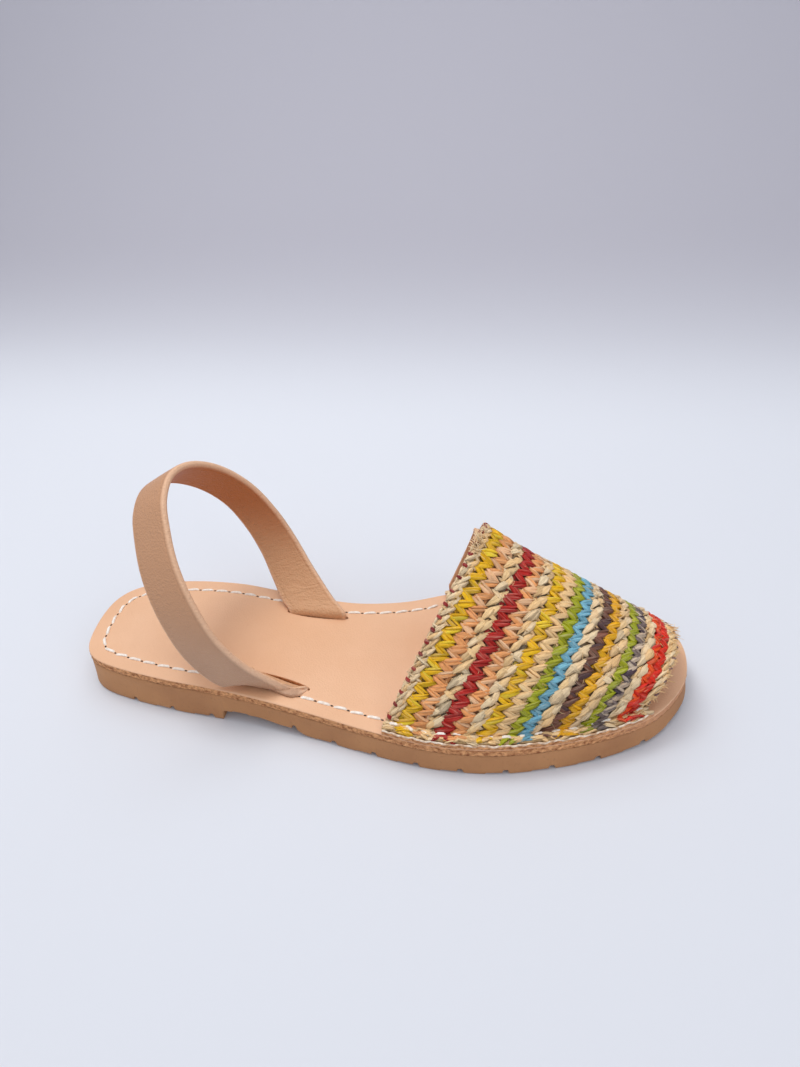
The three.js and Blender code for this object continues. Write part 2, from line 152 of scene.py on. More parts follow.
shaded = blended(tree, far_off, colour(218, 221, 226), colour(177, 176, 184))
tree.links.new(shaded, shader.inputs["Base Color"])
sweep = mesh_piece("paper_sweep", sweep_points, sweep_faces, paper)

world = bpy.data.worlds.new("soft_room")
world.use_nodes = True
world.node_tree.nodes["Background"].inputs["Color"].default_value = colour(242, 244, 255)
world.node_tree.nodes["Background"].inputs["Strength"].default_value = 0.62
bpy.context.scene.world = world


def soft_light(name, place, aim, size, power):
    """A square soft box that faces a point."""
    data = bpy.data.lights.new(name, "AREA")
    data.size = size
    data.energy = power
    light = bpy.data.objects.new(name, data)
    light.location = place
    light.rotation_euler = (Vector(aim) - Vector(place)).to_track_quat("-Z", "Y").to_euler()
    bpy.context.scene.collection.objects.link(light)


soft_light("overhead", (-0.1, 0.25, 0.95), (0, 0, 0), 1.1, 5.35)
soft_light("key", (-0.28, 0.12, 0.95), (0, 0, 0), 0.3, 2.2)
soft_light("front_fill", (0.85, -0.7, 0.85), (0.03, 0, 0.02), 0.6, 1.7)

# The sole's outline
# Every piece of the bottom follows the edge of the leather insole, which the lasting
# machine trims to the last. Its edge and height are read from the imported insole.
MM = 0.001
OUTLINE_STEPS = 1440
OUTLINE_DETAIL = 30  # how many waves round the outline are kept, which rounds its corners


def top_rings(name):
    """The rims of a piece's top face, longest first, each as a ring of points."""
    work = bmesh.new()
    work.from_mesh(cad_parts[name].data)
    bmesh.ops.remove_doubles(work, verts=work.verts, dist=0.02 * MM)
    ahead = {}
    for edge in work.edges:
        ups = [face.normal.z for face in edge.link_faces]
        if len(ups) == 2 and max(ups) > 0.7 and abs(min(ups)) < 0.3:
            for a, b in (edge.verts, reversed(edge.verts)):
                ahead.setdefault(a, []).append(b)
    rings = []
    seen = set()
    for start in list(ahead):
        if start in seen:
            continue
        ring = [start]
        seen.add(start)
        while True:
            onward = [v for v in ahead[ring[-1]] if v not in seen]
            if not onward:
                break
            ring.append(onward[0])
            seen.add(onward[0])
        rings.append(np.array([v.co[:] for v in ring]))
    work.free()
    return sorted(rings, key=lambda ring: -np.ptp(ring[:, 0]))


def run_along(line):
    """Distance from the first point of a line to each of its points."""
    return np.concatenate([[0], np.cumsum(np.linalg.norm(np.diff(line, axis=0), axis=1))])


def even_ring(ring, steps):
    """A closed ring of points resampled at even distances."""
    closed = np.vstack([ring, ring[:1]])
    run = run_along(closed[:, :2])
    at = np.arange(steps) * run[-1] / steps
    return np.stack([np.interp(at, run, closed[:, k]) for k in range(closed.shape[1])], axis=1)


insole_rings = top_rings("insole")
rough_edge = even_ring(insole_rings[0], OUTLINE_STEPS)
waves = np.fft.fft(rough_edge[:, 0] + 1j * rough_edge[:, 1])
waves[OUTLINE_DETAIL:-OUTLINE_DETAIL] = 0
smooth_edge = np.fft.ifft(waves)
edge_xy = np.stack([smooth_edge.real, smooth_edge.imag], axis=1)
area = np.sum(edge_xy[:, 0] * np.roll(edge_xy[:, 1], -1) - np.roll(edge_xy[:, 0], -1) * edge_xy[:, 1])
if area < 0:
    edge_xy = edge_xy[::-1]
edge_ahead = np.roll(edge_xy, -1, axis=0) - np.roll(edge_xy, 1, axis=0)
edge_ahead /= np.linalg.norm(edge_ahead, axis=1)[:, None]
edge_in = np.stack([-edge_ahead[:, 1], edge_ahead[:, 0]], axis=1)

HEEL_X, TOE_X = edge_xy[:, 0].min(), edge_xy[:, 0].max()
SOLE_LENGTH = TOE_X - HEEL_X
AXIS_Y = -0.306 * MM  # the last's long axis, beside the middle of the box
BALL_WIDTH = 90 * MM

top_order = np.argsort(rough_edge[:, 0])
profile_x = np.linspace(HEEL_X, TOE_X, 400)
profile_z = np.interp(profile_x, rough_edge[top_order, 0], rough_edge[top_order, 2])
SOFTENING = 9  # samples on each side that round the bends of the insole's profile
padded_z = np.pad(profile_z, SOFTENING, mode="edge")
kernel = np.hanning(2 * SOFTENING + 3)[1:-1]
profile_z = np.convolve(padded_z, kernel / kernel.sum(), mode="valid")


def insole_top(x):
    """Height of the insole's upper face."""
    return np.interp(x, profile_x, profile_z)


def edge_points(inset):
    """The outline moved inwards."""
    return edge_xy + inset * edge_in


# Outsole
# One moulded rubber unit, matte tan, with a stepped heel breast, a raised waist and cross
# grooves that show as notches along the side. The insole is glued and stitched onto it.
INSOLE_THICKNESS = 3.0 * MM
HEEL_BREAST_RISE = 5.2 * MM
TOE_SPRING = 2.6 * MM
OUTSOLE_FLARE = 0.9 * MM
GROOVE_DEPTH = 1.9 * MM
GROOVE_HALF_WIDTH = 1.0 * MM
GROOVE_EDGE = 0.45 * MM
TREAD_STEP = 0.5 * MM
TREAD_STEP_EDGE = 0.8 * MM
TREAD_STEP_AT = 0.56  # in pitches of the grooves
UNDERSIDE = [  # along the sole, share of the breast's rise, share of the toe spring
    (0, 0, 0), (0.272, 0, 0), (0.275, 1, 0), (0.34, 1, 0), (0.375, 0.66, 0), (0.4, 0.6, 0),
    (0.415, 0.14, 0), (0.44, 0, 0), (0.85, 0, 0), (0.92, 0, 0.27), (0.97, 0, 0.7), (1, 0, 1),
]
GROOVE_RUNS = [(0.108, 0.265, 17.6 * MM), (0.398, 0.96, 16.2 * MM)]
# Rows of the side wall from the top down: share of the height, share of the flare.
WALL_ROWS = [
    (0, -0.5), (0.045, -0.45), (0.07, 0), (0.2, 0.1), (0.4, 0.25), (0.6, 0.5), (0.8, 0.8), (0.92, 1),
    (0.975, 0.8), (1, 0.1),
]
FLOOR_ROWS = [0.02, 0.05, 0.1, 0.2, 0.35, 0.55, 0.8, 1]
FAN_HEEL = 20 * MM
FAN_TOE = 16 * MM


def soft_step(x, at, width):
    """0 before `at`, 1 after it, over a short width."""
    share = np.clip((x - at) / width + 0.5, 0, 1)
    return share * share * (3 - 2 * share)


def underside(x):
    """Height of the outsole's lower face, with its grooves and low steps."""
    along = (x - HEEL_X) / SOLE_LENGTH
    table = np.array(UNDERSIDE)
    height = np.interp(along, table[:, 0], table[:, 1]) * HEEL_BREAST_RISE
    height += np.interp(along, table[:, 0], table[:, 2]) * TOE_SPRING
    for start, end, pitch in GROOVE_RUNS:
        for groove in np.arange(HEEL_X + start * SOLE_LENGTH, HEEL_X + end * SOLE_LENGTH, pitch):
            rise = soft_step(x, groove - GROOVE_HALF_WIDTH, GROOVE_EDGE)
            fall = soft_step(x, groove + GROOVE_HALF_WIDTH, GROOVE_EDGE)
            height += GROOVE_DEPTH * (rise - fall)
            step = soft_step(x, groove + TREAD_STEP_AT * pitch, TREAD_STEP_EDGE)
            end_step = soft_step(x, groove + pitch - GROOVE_HALF_WIDTH, TREAD_STEP_EDGE)
            height += TREAD_STEP * (step - end_step)
    return height


spine_x = np.clip(edge_xy[:, 0], HEEL_X + FAN_HEEL, TOE_X - FAN_TOE)


def middle_of(x):
    """Halfway between the two edges of the sole."""
    forward = edge_ahead[:, 0] > 0
    lower = edge_xy[forward][np.argsort(edge_xy[forward, 0])]
    upper = edge_xy[~forward][np.argsort(edge_xy[~forward, 0])]
    return (np.interp(x, *lower.T) + np.interp(x, *upper.T)) / 2


spine = np.stack([spine_x, middle_of(spine_x)], axis=1)


def stack_rings(rings):
    """Joins rings of equal length, one over the other, into a skin of quads."""
    count = len(rings[0])
    around = np.arange(count)
    onward = (around + 1) % count
    faces = []
    for row in range(len(rings) - 1):
        a, b = row * count, (row + 1) * count
        faces.append(np.stack([b + around, b + onward, a + onward, a + around], axis=1))
    return np.vstack(rings), np.vstack(faces)


outsole_top = insole_top(edge_xy[:, 0]) - INSOLE_THICKNESS
outsole_rings = []
for share in (1, 0.5, 0.1):
    ring = edge_xy * (1 - share) + spine * share
    outsole_rings.append(np.column_stack([ring, insole_top(ring[:, 0]) - INSOLE_THICKNESS]))
for down, flare in WALL_ROWS:
    ring = edge_points(-flare * OUTSOLE_FLARE)
    low = underside(edge_xy[:, 0])
    outsole_rings.append(np.column_stack([ring, outsole_top * (1 - down) + low * down]))
foot = edge_points(0.1 * OUTSOLE_FLARE)
for share in FLOOR_ROWS:
    ring = foot * (1 - share) + spine * share
    outsole_rings.append(np.column_stack([ring, underside(ring[:, 0])]))
outsole_points, outsole_faces = stack_rings(outsole_rings)


def noise(tree, place, scale, detail=2.0, **more):
    """Cloudy noise. A larger scale gives finer clouds."""
    values = {"Vector": place, "Scale": scale, "Detail": detail, **more}
    return node(tree, "ShaderNodeTexNoise", values).outputs["Fac"]


def toned(tree, value, low, low_tone, high, high_tone):
    """Tones that run from one colour to another while a value goes from low to high."""
    ramp = node(tree, "ShaderNodeValToRGB", {"Fac": value})
    for element, at, tone in zip(ramp.color_ramp.elements, (low, high), (low_tone, high_tone)):
        element.position = at
        element.color = tone
    return ramp.outputs["Color"]


def grained(tree, shader, height, strength, depth):
    """Gives a finish its relief."""
    grain = node(tree, "ShaderNodeBump", {"Height": height, "Strength": strength, "Distance": depth})
    tree.links.new(grain.outputs["Normal"], shader.inputs["Normal"])


rubber, tree, shader = new_finish("tan_rubber", 0.72)
place = node(tree, "ShaderNodeTexCoord").outputs["Object"]
clouds = noise(tree, place, 38.0, 4.0)
tones = toned(tree, clouds, 0.3, colour(173, 120, 77), 0.72, colour(197, 142, 93))
specks = noise(tree, place, 900.0)
dust = ranged(tree, specks, 0.6, 0.75, high=0.25)
speckled = blended(tree, dust, tones, colour(138, 94, 66))
tree.links.new(speckled, shader.inputs["Base Color"])
pits = noise(tree, place, 420.0, 3.0)
drag = noise(tree, place, 60.0, 3.0)
relief = node(tree, "ShaderNodeMath", {0: pits, 1: drag})
grained(tree, shader, relief.outputs["Value"], 0.35, 0.6 * MM)

outsole = mesh_piece("rubber_outsole", outsole_points, outsole_faces, rubber)
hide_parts("outsole")
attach(outsole, "root")

# Insole
# A single sheet of smooth vegetable-tanned leather, die-cut, with two slits for the heel
# strap. Its top edge is rounded by hand and its cut side is raw, fuzzy and darker.
EDGE_ROUND = 0.4 * MM
RAW_OVERHANG = 0.45 * MM
SLIT_HALF_LENGTH = 13.4 * MM
SLIT_HALF_WIDTH = 2.1 * MM
SLITS = {  # along the sole, across in ball widths, heading
    "lateral": (0.362, -0.245, -0.175),
    "medial": (0.384, 0.201, 0.012),
}
SLIT_STEPS = 96
STITCH_INSET = 6.4 * MM
STITCH_GROOVE = 0.28 * MM
STITCH_GROOVE_REACH = 0.6 * MM
GRID = 3.5 * MM
GRID_GAP = 1.2 * MM  # between the grid and the rings beside it
SWAY = 0.12 * MM
RAW_ROWS = 6
RAW_FUZZ = 0.09 * MM
GLUE_GAP = 0.05 * MM
RIM_INSETS = np.array([0, 0.04, 0.12, 0.24, 0.4, 0.8]) * MM
GROOVE_INSETS = STITCH_INSET + np.array([-1.5, -0.9, -0.45, 0, 0.45, 0.9, 1.5]) * MM


def rim_drop(inset):
    """How far the rounded top edge lies below the face."""
    return EDGE_ROUND - np.sqrt(np.maximum(EDGE_ROUND**2 - np.maximum(EDGE_ROUND - inset, 0) ** 2, 0))


def slit_centre(name):
    """Where a slit lies on the insole, and its heading."""
    along, across, heading = SLITS[name]
    return np.array([HEEL_X + along * SOLE_LENGTH, AXIS_Y + across * BALL_WIDTH]), heading


def slit_ring(name, grow):
    """The slit's lens-shaped rim, moved outwards by `grow`."""
    centre, heading = slit_centre(name)
    turn = 2 * math.pi * np.arange(SLIT_STEPS) / SLIT_STEPS
    along = np.cos(turn) * (SLIT_HALF_LENGTH + grow)
    across = np.sin(turn) * (SLIT_HALF_WIDTH + grow)
    c, s = math.cos(heading), math.sin(heading)
    return centre + np.stack([along * c - across * s, along * s + across * c], axis=1)


flat_points = []
flat_edges = []
flat_drop = []


def add_ring(ring, drop):
    """A closed ring that the sheet follows, at a depth below its face."""
    start = len(flat_points)
    flat_points.extend(Vector(p) for p in ring)
    flat_drop.extend([drop] * len(ring))
    flat_edges.extend((start + i, start + (i + 1) % len(ring)) for i in range(len(ring)))


for inset in RIM_INSETS:
    add_ring(edge_points(inset)[::2], rim_drop(inset))
for inset in GROOVE_INSETS:
    depth = STITCH_GROOVE * math.exp(-(((inset - STITCH_INSET) / STITCH_GROOVE_REACH) ** 2))
    add_ring(edge_points(inset)[::2], depth)
for name in SLITS:
    for inset in RIM_INSETS:
        add_ring(slit_ring(name, inset), rim_drop(inset))


def inside(points, ring):
    """Which points lie inside a closed ring."""
    a, b = ring, np.roll(ring, -1, axis=0)
    x, y = points[:, 0][:, None], points[:, 1][:, None]
    crosses = (a[:, 1] > y) != (b[:, 1] > y)
    with np.errstate(divide="ignore", invalid="ignore"):
        at = a[:, 0] + (y - a[:, 1]) * (b[:, 0] - a[:, 0]) / (b[:, 1] - a[:, 1])
    return (np.sum(crosses & (x < at), axis=1) % 2) == 1


def far_from(points, ring, reach):
    """Which points keep their distance from a ring."""
    gaps = np.linalg.norm(points[:, None, :] - ring[None, ::4], axis=2)
    return gaps.min(axis=1) > reach


grid_x, grid_y = np.meshgrid(
    np.arange(HEEL_X, TOE_X, GRID), np.arange(edge_xy[:, 1].min(), edge_xy[:, 1].max(), GRID)
)
grid = np.column_stack([grid_x.ravel(), grid_y.ravel()])
grid = grid[inside(grid, edge_points(GROOVE_INSETS[-1] + GRID_GAP)[::4])]
for name in SLITS:
    hole = slit_ring(name, RIM_INSETS[-1])
    grid = grid[~inside(grid, hole) & far_from(grid, hole, GRID_GAP)]
flat_points.extend(Vector(p) for p in grid)
flat_drop.extend([0.0] * len(grid))

cut = delaunay_2d_cdt(flat_points, flat_edges, [], 0, 1e-7)
sheet_xy = np.array([p[:] for p in cut[0]])
sheet_drop = np.array([flat_drop[origins[0]] if origins else 0.0 for origins in cut[3]])
sheet_faces = np.array(cut[2])
centres = sheet_xy[sheet_faces].mean(axis=1)
kept = inside(centres, edge_points(0)[::2])
for name in SLITS:
    kept &= ~inside(centres, slit_ring(name, 0))
sheet_faces = sheet_faces[kept]

x, y = sheet_xy.T
sway = SWAY * (np.sin(x * 71 + 1.3) * np.cos(y * 93) + 0.6 * np.sin(x * 160 + y * 120))
sheet_z = insole_top(x) - sheet_drop + np.where(sheet_drop > 0, 0, sway)
sheet_top = np.column_stack([x, y, sheet_z])
used = np.unique(sheet_faces)
renumber = np.full(len(sheet_top), -1)
renumber[used] = np.arange(len(used))
insole_points = [sheet_top[used]]
insole_faces = [tuple(int(renumber[v]) for v in face) for face in sheet_faces]
count = len(used)
below = sheet_top[used].copy()
below[:, 2] = insole_top(below[:, 0]) - INSOLE_THICKNESS + GLUE_GAP
insole_points.append(below)
insole_faces += [tuple(count + v for v in reversed(face)) for face in insole_faces]
raw_from = len(insole_faces)

directed = {}
for face in insole_faces[: raw_from // 2]:
    directed.update(dict.fromkeys(zip(face, face[1:] + face[:1])))
rim_edges = [(a, b) for a, b in directed if (b, a) not in directed]
rng = np.random.default_rng(11)
row_of = {}
extra = []
for a in sorted({v for edge in rim_edges for v in edge}):
    high, low = insole_points[0][a], below[a] - (0, 0, RAW_OVERHANG)
    row_of[a] = [a]
    for row in range(1, RAW_ROWS):
        fuzz = rng.normal(0, RAW_FUZZ, 3)
        row_of[a].append(2 * count + len(extra))
        extra.append(high + (low - high) * row / (RAW_ROWS - 1) + fuzz)
    row_of[a].append(count + a)
insole_points.append(np.array(extra))
for a, b in rim_edges:
    for row in range(RAW_ROWS):
        insole_faces.append((row_of[b][row], row_of[a][row], row_of[a][row + 1], row_of[b][row + 1]))

leather, tree, shader = new_finish("smooth_tan_leather", 0.5)
place = node(tree, "ShaderNodeTexCoord").outputs["Object"]
clouds = noise(tree, place, 26.0, 5.0)
tones = toned(tree, clouds, 0.25, colour(224, 173, 131), 0.75, colour(235, 188, 149))
hairs = node(tree, "ShaderNodeTexVoronoi", {"Vector": place, "Scale": 1500.0}).outputs["Distance"]
pores = ranged(tree, hairs, 0.0, 0.25, 0.35, 0.0)
pored = blended(tree, pores, tones, colour(198, 140, 99))
tree.links.new(pored, shader.inputs["Base Color"])
creases = noise(tree, place, 340.0, 4.0)
relief = node(tree, "ShaderNodeMath", {0: creases, 1: hairs})
grained(tree, shader, relief.outputs["Value"], 0.22, 0.3 * MM)
shader.inputs["Coat Weight"].default_value = 0.08
shader.inputs["Coat Roughness"].default_value = 0.35

raw_leather, tree, shader = new_finish("raw_cut_leather", 0.9)
place = node(tree, "ShaderNodeTexCoord").outputs["Object"]
squeezed = node(tree, "ShaderNodeMapping", {"Vector": place, "Scale": (1.0, 1.0, 1.4)})
fibres = noise(tree, squeezed.outputs["Vector"], 620.0, 5.0)
tones = toned(tree, fibres, 0.32, colour(150, 88, 48), 0.66, colour(238, 176, 120))
sole_place = node(tree, "ShaderNodeSeparateXYZ", {"Vector": place})
toe_trim = ranged(
    tree, sole_place.outputs["X"], HEEL_X + 0.86 * SOLE_LENGTH, HEEL_X + 0.96 * SOLE_LENGTH, high=0.75)
trimmed = blended(tree, toe_trim, tones, colour(214, 156, 118))
tree.links.new(trimmed, shader.inputs["Base Color"])
grained(tree, shader, fibres, 0.9, 0.8 * MM)

insole = mesh_piece("leather_insole", np.vstack(insole_points), insole_faces, leather)
insole.data.materials.append(raw_leather)
sides = np.zeros(len(insole.data.polygons), int)
sides[raw_from:] = 1
insole.data.polygons.foreach_set("material_index", sides)
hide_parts("insole")
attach(insole, "root")

# Insole stitching
# Waxed cream thread in long lock stitches, sunk in a shallow groove a finger's breadth
# inside the edge, from one foot of the vamp round the heel to the other.
STITCH_PITCH = 6.8 * MM
STITCH_LENGTH = 5.6 * MM
STITCH_STEPS = 9
STITCH_RISE = 0.34 * MM  # a stitch's middle over the floor of the groove
STITCH_DIVE = 0.75 * MM  # its ends below its middle
STITCH_SLANT = 0.12
THREAD_TURNS = 2.2  # turns of the thread's three cords in one stitch
THREAD_HALF_WIDTH = 0.64 * MM
THREAD_HALF_HEIGHT = 0.45 * MM
STITCH_SPAN = {"lateral": 0.54, "medial": 0.594}  # where the vamp's feet begin
HOLE_HALF_LENGTH = 0.8 * MM
HOLE_HALF_HEIGHT = 0.24 * MM
HOLE_SUNK = 0.1 * MM


def unit(vectors):
    """Vectors brought to the length of 1."""
    return vectors / np.maximum(np.linalg.norm(vectors, axis=-1, keepdims=True), 1e-12)


def straight_up(lines):
    """The way up at each point of lines that lie on the insole."""
    return np.broadcast_to(np.array([0.0, 0, 1]), lines.shape)


ROUND = 2 * math.pi * (np.arange(10) + 0.5) / 10


def strands(lines, ups, widths, heights, around=ROUND, relief=1.0):
    """Closed slim bodies, one along each line. Lines are counted, then their steps.
    Widths and heights are half sizes, and relief scales the section point by point."""
    count, steps = lines.shape[:2]
    sides = len(around)
    ahead = unit(np.gradient(lines, axis=1))
    side = unit(np.cross(ups, ahead))
    up = np.cross(ahead, side)
    broad = np.broadcast_to(widths, (count, steps))[..., None] * np.cos(around) * relief
    tall = np.broadcast_to(heights, (count, steps))[..., None] * np.sin(around) * relief
    points = lines[:, :, None] + side[:, :, None] * broad[..., None] + up[:, :, None] * tall[..., None]
    at = np.arange(count * steps * sides).reshape(count, steps, sides)
    on = np.roll(at, -1, axis=2)
    quads = np.stack([at[:, :-1], on[:, :-1], on[:, 1:], at[:, 1:]], axis=-1).reshape(-1, 4)
    caps = [tuple(row) for row in at[:, 0, ::-1].tolist()] + [tuple(row) for row in at[:, -1].tolist()]
    return points.reshape(-1, 3), quads.tolist() + caps


stitch_line = edge_points(STITCH_INSET)
closed_line = np.vstack([stitch_line, stitch_line[:1]])
line_run = run_along(closed_line)


def on_stitch_line(run):
    """Points of the stitching line at distances round it."""
    run = np.mod(run, line_run[-1])
    return np.stack([np.interp(run, line_run, closed_line[:, k]) for k in range(2)], axis=-1)


def run_at(side, along):
    """Distance round the stitching line at which it passes a place on one side."""
    x = HEEL_X + along * SOLE_LENGTH
    forward = edge_ahead[:, 0] > 0 if side == "lateral" else edge_ahead[:, 0] < 0
    gap = np.abs(stitch_line[:, 0] - x) + np.where(forward, 0, 1)
    return line_run[np.argmin(gap)]


first = run_at("medial", STITCH_SPAN["medial"])
last = run_at("lateral", STITCH_SPAN["lateral"])
if last < first:
    last += line_run[-1]
stitch_count = int((last - first) / STITCH_PITCH)
starts = first + (np.arange(stitch_count) + 0.5) * (last - first) / stitch_count

rng = np.random.default_rng(3)
run = np.linspace(-0.5, 0.5, STITCH_STEPS)[None, :] * STITCH_LENGTH
stitch_xy = on_stitch_line(starts[:, None] + run)
ahead = unit(np.gradient(stitch_xy, axis=1))
sideways = np.stack([-ahead[..., 1], ahead[..., 0]], axis=-1)
slant = rng.normal(STITCH_SLANT, 0.05, (len(starts), 1, 1)) * run[..., None]
stitch_xy = stitch_xy + sideways * slant
from_middle = np.abs(np.linspace(-1, 1, STITCH_STEPS))
lift = STITCH_RISE - STITCH_DIVE * from_middle**4
stitch_z = insole_top(stitch_xy[..., 0]) - STITCH_GROOVE + lift
lines = np.concatenate([stitch_xy, stitch_z[..., None]], axis=-1)
taper = 1 - 0.35 * from_middle**6
twist_of_thread = 2 * math.pi * THREAD_TURNS * np.linspace(0, 1, STITCH_STEPS)[None, :, None]
three_cords = 1 + 0.09 * np.cos(3 * ROUND + twist_of_thread)
thread_points, thread_faces = strands(
    lines, straight_up(lines), THREAD_HALF_WIDTH * taper, THREAD_HALF_HEIGHT * taper, ROUND, three_cords)

thread, tree, shader = new_finish("waxed_cream_thread", 0.6)
place = node(tree, "ShaderNodeTexCoord").outputs["Object"]
clouds = noise(tree, place, 700.0, 3.0)
tones = toned(tree, clouds, 0.3, colour(232, 216, 198), 0.7, colour(255, 250, 240))
tree.links.new(tones, shader.inputs["Base Color"])
grained(tree, shader, clouds, 0.4, 0.3 * MM)
stitching = mesh_piece("insole_stitches", thread_points, thread_faces, thread)
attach(stitching, "root")

# Needle holes: small dark lenses between the stitches, painted shade for the depth of each hole.
hole_middles = starts + STITCH_PITCH / 2
hole_xy = on_stitch_line(hole_middles[:, None] + np.linspace(-1, 1, 5)[None, :] * HOLE_HALF_LENGTH)
hole_z = insole_top(hole_xy[..., 0]) - STITCH_GROOVE - HOLE_SUNK
hole_lines = np.concatenate([hole_xy, hole_z[..., None]], axis=-1)
roundness = np.sqrt(np.maximum(1.02 - np.linspace(-1, 1, 5) ** 2, 0.02))
hole_points, hole_faces = strands(
    hole_lines, straight_up(hole_lines), HOLE_HALF_LENGTH * roundness, HOLE_HALF_HEIGHT * roundness)
hole_shade_finish, tree, shader = new_finish("needle_hole_shade", 0.95)
place = node(tree, "ShaderNodeTexCoord").outputs["Object"]
clouds = noise(tree, place, 900.0)
tones = toned(tree, clouds, 0.0, colour(30, 20, 22), 1.0, colour(66, 46, 42))
tree.links.new(tones, shader.inputs["Base Color"])
needle_holes = mesh_piece("needle_holes", hole_points, hole_faces, hole_shade_finish)
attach(needle_holes, "root")

# Heel strap
# One band of two layers of smooth leather, folded and glued, with rolled edges. It comes up
# through the insole's slits, leans back round the heel, and its inner face is creased.
STRAP_WIDTH = 18.5 * MM
STRAP_THICKNESS = 2.8 * MM
STRAP_RISE = 68 * MM
SLIT_LENGTH = 25.4 * MM
STRAP_SUNK = 3.1 * MM
SLIT_ROW_DEPTH = 1.0 * MM
# The strap's colour darkens between these two heights: painted shade.
STRAP_SHADE_FROM = 28 * MM
STRAP_SHADE_TO = 62 * MM
# Centre of the band from the lateral to the medial slit: along the sole, across in ball
# widths, height in strap rises; then its front edge seen from there, in half widths.
STRAP_PATH = [
    (0.3435, -0.289, 0.05, 1.28, -0.07, -0.29), (0.314, -0.328, 0.108, 0.93, 0, 0.42),
    (0.268, -0.339, 0.318, 0.86, 0, 0.51), (0.2325, -0.292, 0.541, 0.87, -0.01, 0.5),
    (0.205, -0.21, 0.717, 0.87, -0.03, 0.5), (0.186, -0.112, 0.852, 0.87, -0.06, 0.5),
    (0.172, -0.006, 0.961, 0.86, -0.08, 0.51), (0.168, 0.12, 1.012, 0.85, -0.07, 0.53),
    (0.179, 0.261, 0.973, 0.84, -0.09, 0.54), (0.208, 0.372, 0.855, 0.8, -0.11, 0.59),
    (0.244, 0.428, 0.692, 0.81, -0.07, 0.57), (0.277, 0.428, 0.511, 0.86, -0.01, 0.51),
    (0.303, 0.403, 0.342, 0.9, 0.06, 0.46), (0.333, 0.332, 0.172, 1.0, 0.16, 0.34),
    (0.365, 0.245, 0.058, 1.24, 0.12, 0.08),
]
SPAN_STEPS = 14


def smooth_line(knots, steps):
    """A smooth line through its knots, with even steps from each to the next."""
    knots = np.asarray(knots, float)
    line = np.vstack([2 * knots[0] - knots[1], knots, 2 * knots[-1] - knots[-2]])
    gap = np.maximum(np.linalg.norm(np.diff(line, axis=0), axis=1) ** 0.5, 1e-6)
    share = (np.arange(steps) / steps)[:, None]
    made = []
    for i in range(1, len(line) - 2):
        before, here, after, beyond = line[i - 1 : i + 3]
        d0, d1, d2 = gap[i - 1 : i + 2]
        leave = ((here - before) / d0 - (after - before) / (d0 + d1) + (after - here) / d1) * d1
        arrive = ((after - here) / d1 - (beyond - here) / (d1 + d2) + (beyond - after) / d2) * d1
        made.append(
            here * (2 * share**3 - 3 * share**2 + 1)
            + leave * (share**3 - 2 * share**2 + share)
            + after * (3 * share**2 - 2 * share**3)
            + arrive * (share**3 - share**2)
        )
    made.append(line[-2:-1])
    return np.vstack(made)


slit_reach = SLIT_LENGTH / STRAP_WIDTH
strap_base = np.mean([float(insole_top(slit_centre(name)[0][0])) for name in SLITS])


def slit_rows(name, heights, tip=0.0):
    """The band's rows in a slit: its middles at some heights, and its lead."""
    (x, y), heading = slit_centre(name)
    lead = (slit_reach * math.cos(heading), slit_reach * math.sin(heading), tip)
    return [((x, y, float(insole_top(x)) + height), lead) for height in heights]


band_rows = slit_rows("lateral", (-STRAP_SUNK, -SLIT_ROW_DEPTH, STRAP_THICKNESS / 2), -0.19)
for along, across, rise, lead, splay, tip in STRAP_PATH:
    spot = (HEEL_X + along * SOLE_LENGTH, AXIS_Y + across * BALL_WIDTH, strap_base + rise * STRAP_RISE)
    band_rows.append((spot, (lead, splay, tip)))
band_rows += slit_rows("medial", (STRAP_THICKNESS / 2, -SLIT_ROW_DEPTH, -STRAP_SUNK))
band_middle = smooth_line([spot for spot, _ in band_rows], SPAN_STEPS)
band_lead = smooth_line([lead for _, lead in band_rows], SPAN_STEPS) * STRAP_WIDTH / 2
band_ahead = unit(np.gradient(band_middle, axis=0))
band_out = unit(np.cross(band_lead, band_ahead))

# Section of the band: across from -1 to 1, and out in half thicknesses, from the rear edge
# over the outer face to the front edge and back along the inner face.
FACE_SHARES = [-0.85, -0.81, -0.78, -0.75, -0.7, -0.5, -0.25, 0, 0.25, 0.5, 0.7, 0.75, 0.78, 0.81, 0.85]
FOLD_LINE = 0.78
FOLD_LINE_DEPTH = 0.11
ROLL = 0.15
EDGE_TURN = [(1 - ROLL * (1 - math.sin(t)), math.cos(t)) for t in np.radians([18, 36, 54, 72, 88])]
face_sink = [FOLD_LINE_DEPTH * math.exp(-(((abs(s) - FOLD_LINE) / 0.03) ** 2)) for s in FACE_SHARES]
outer_face = [(s, 1 + 0.1 * (0.72 - s**2) - sink) for s, sink in zip(FACE_SHARES, face_sink)]
front_edge = EDGE_TURN + [(across, -out) for across, out in reversed(EDGE_TURN)]
inner_face = [(s, -1 - 0.05 * (0.72 - s**2) + sink) for s, sink in zip(FACE_SHARES, face_sink)]
inner_face = inner_face[::-1]
rear_edge = [(-across, out) for across, out in reversed(front_edge)]
band_section = np.array(outer_face + front_edge + inner_face + rear_edge)
across, out = band_section.T
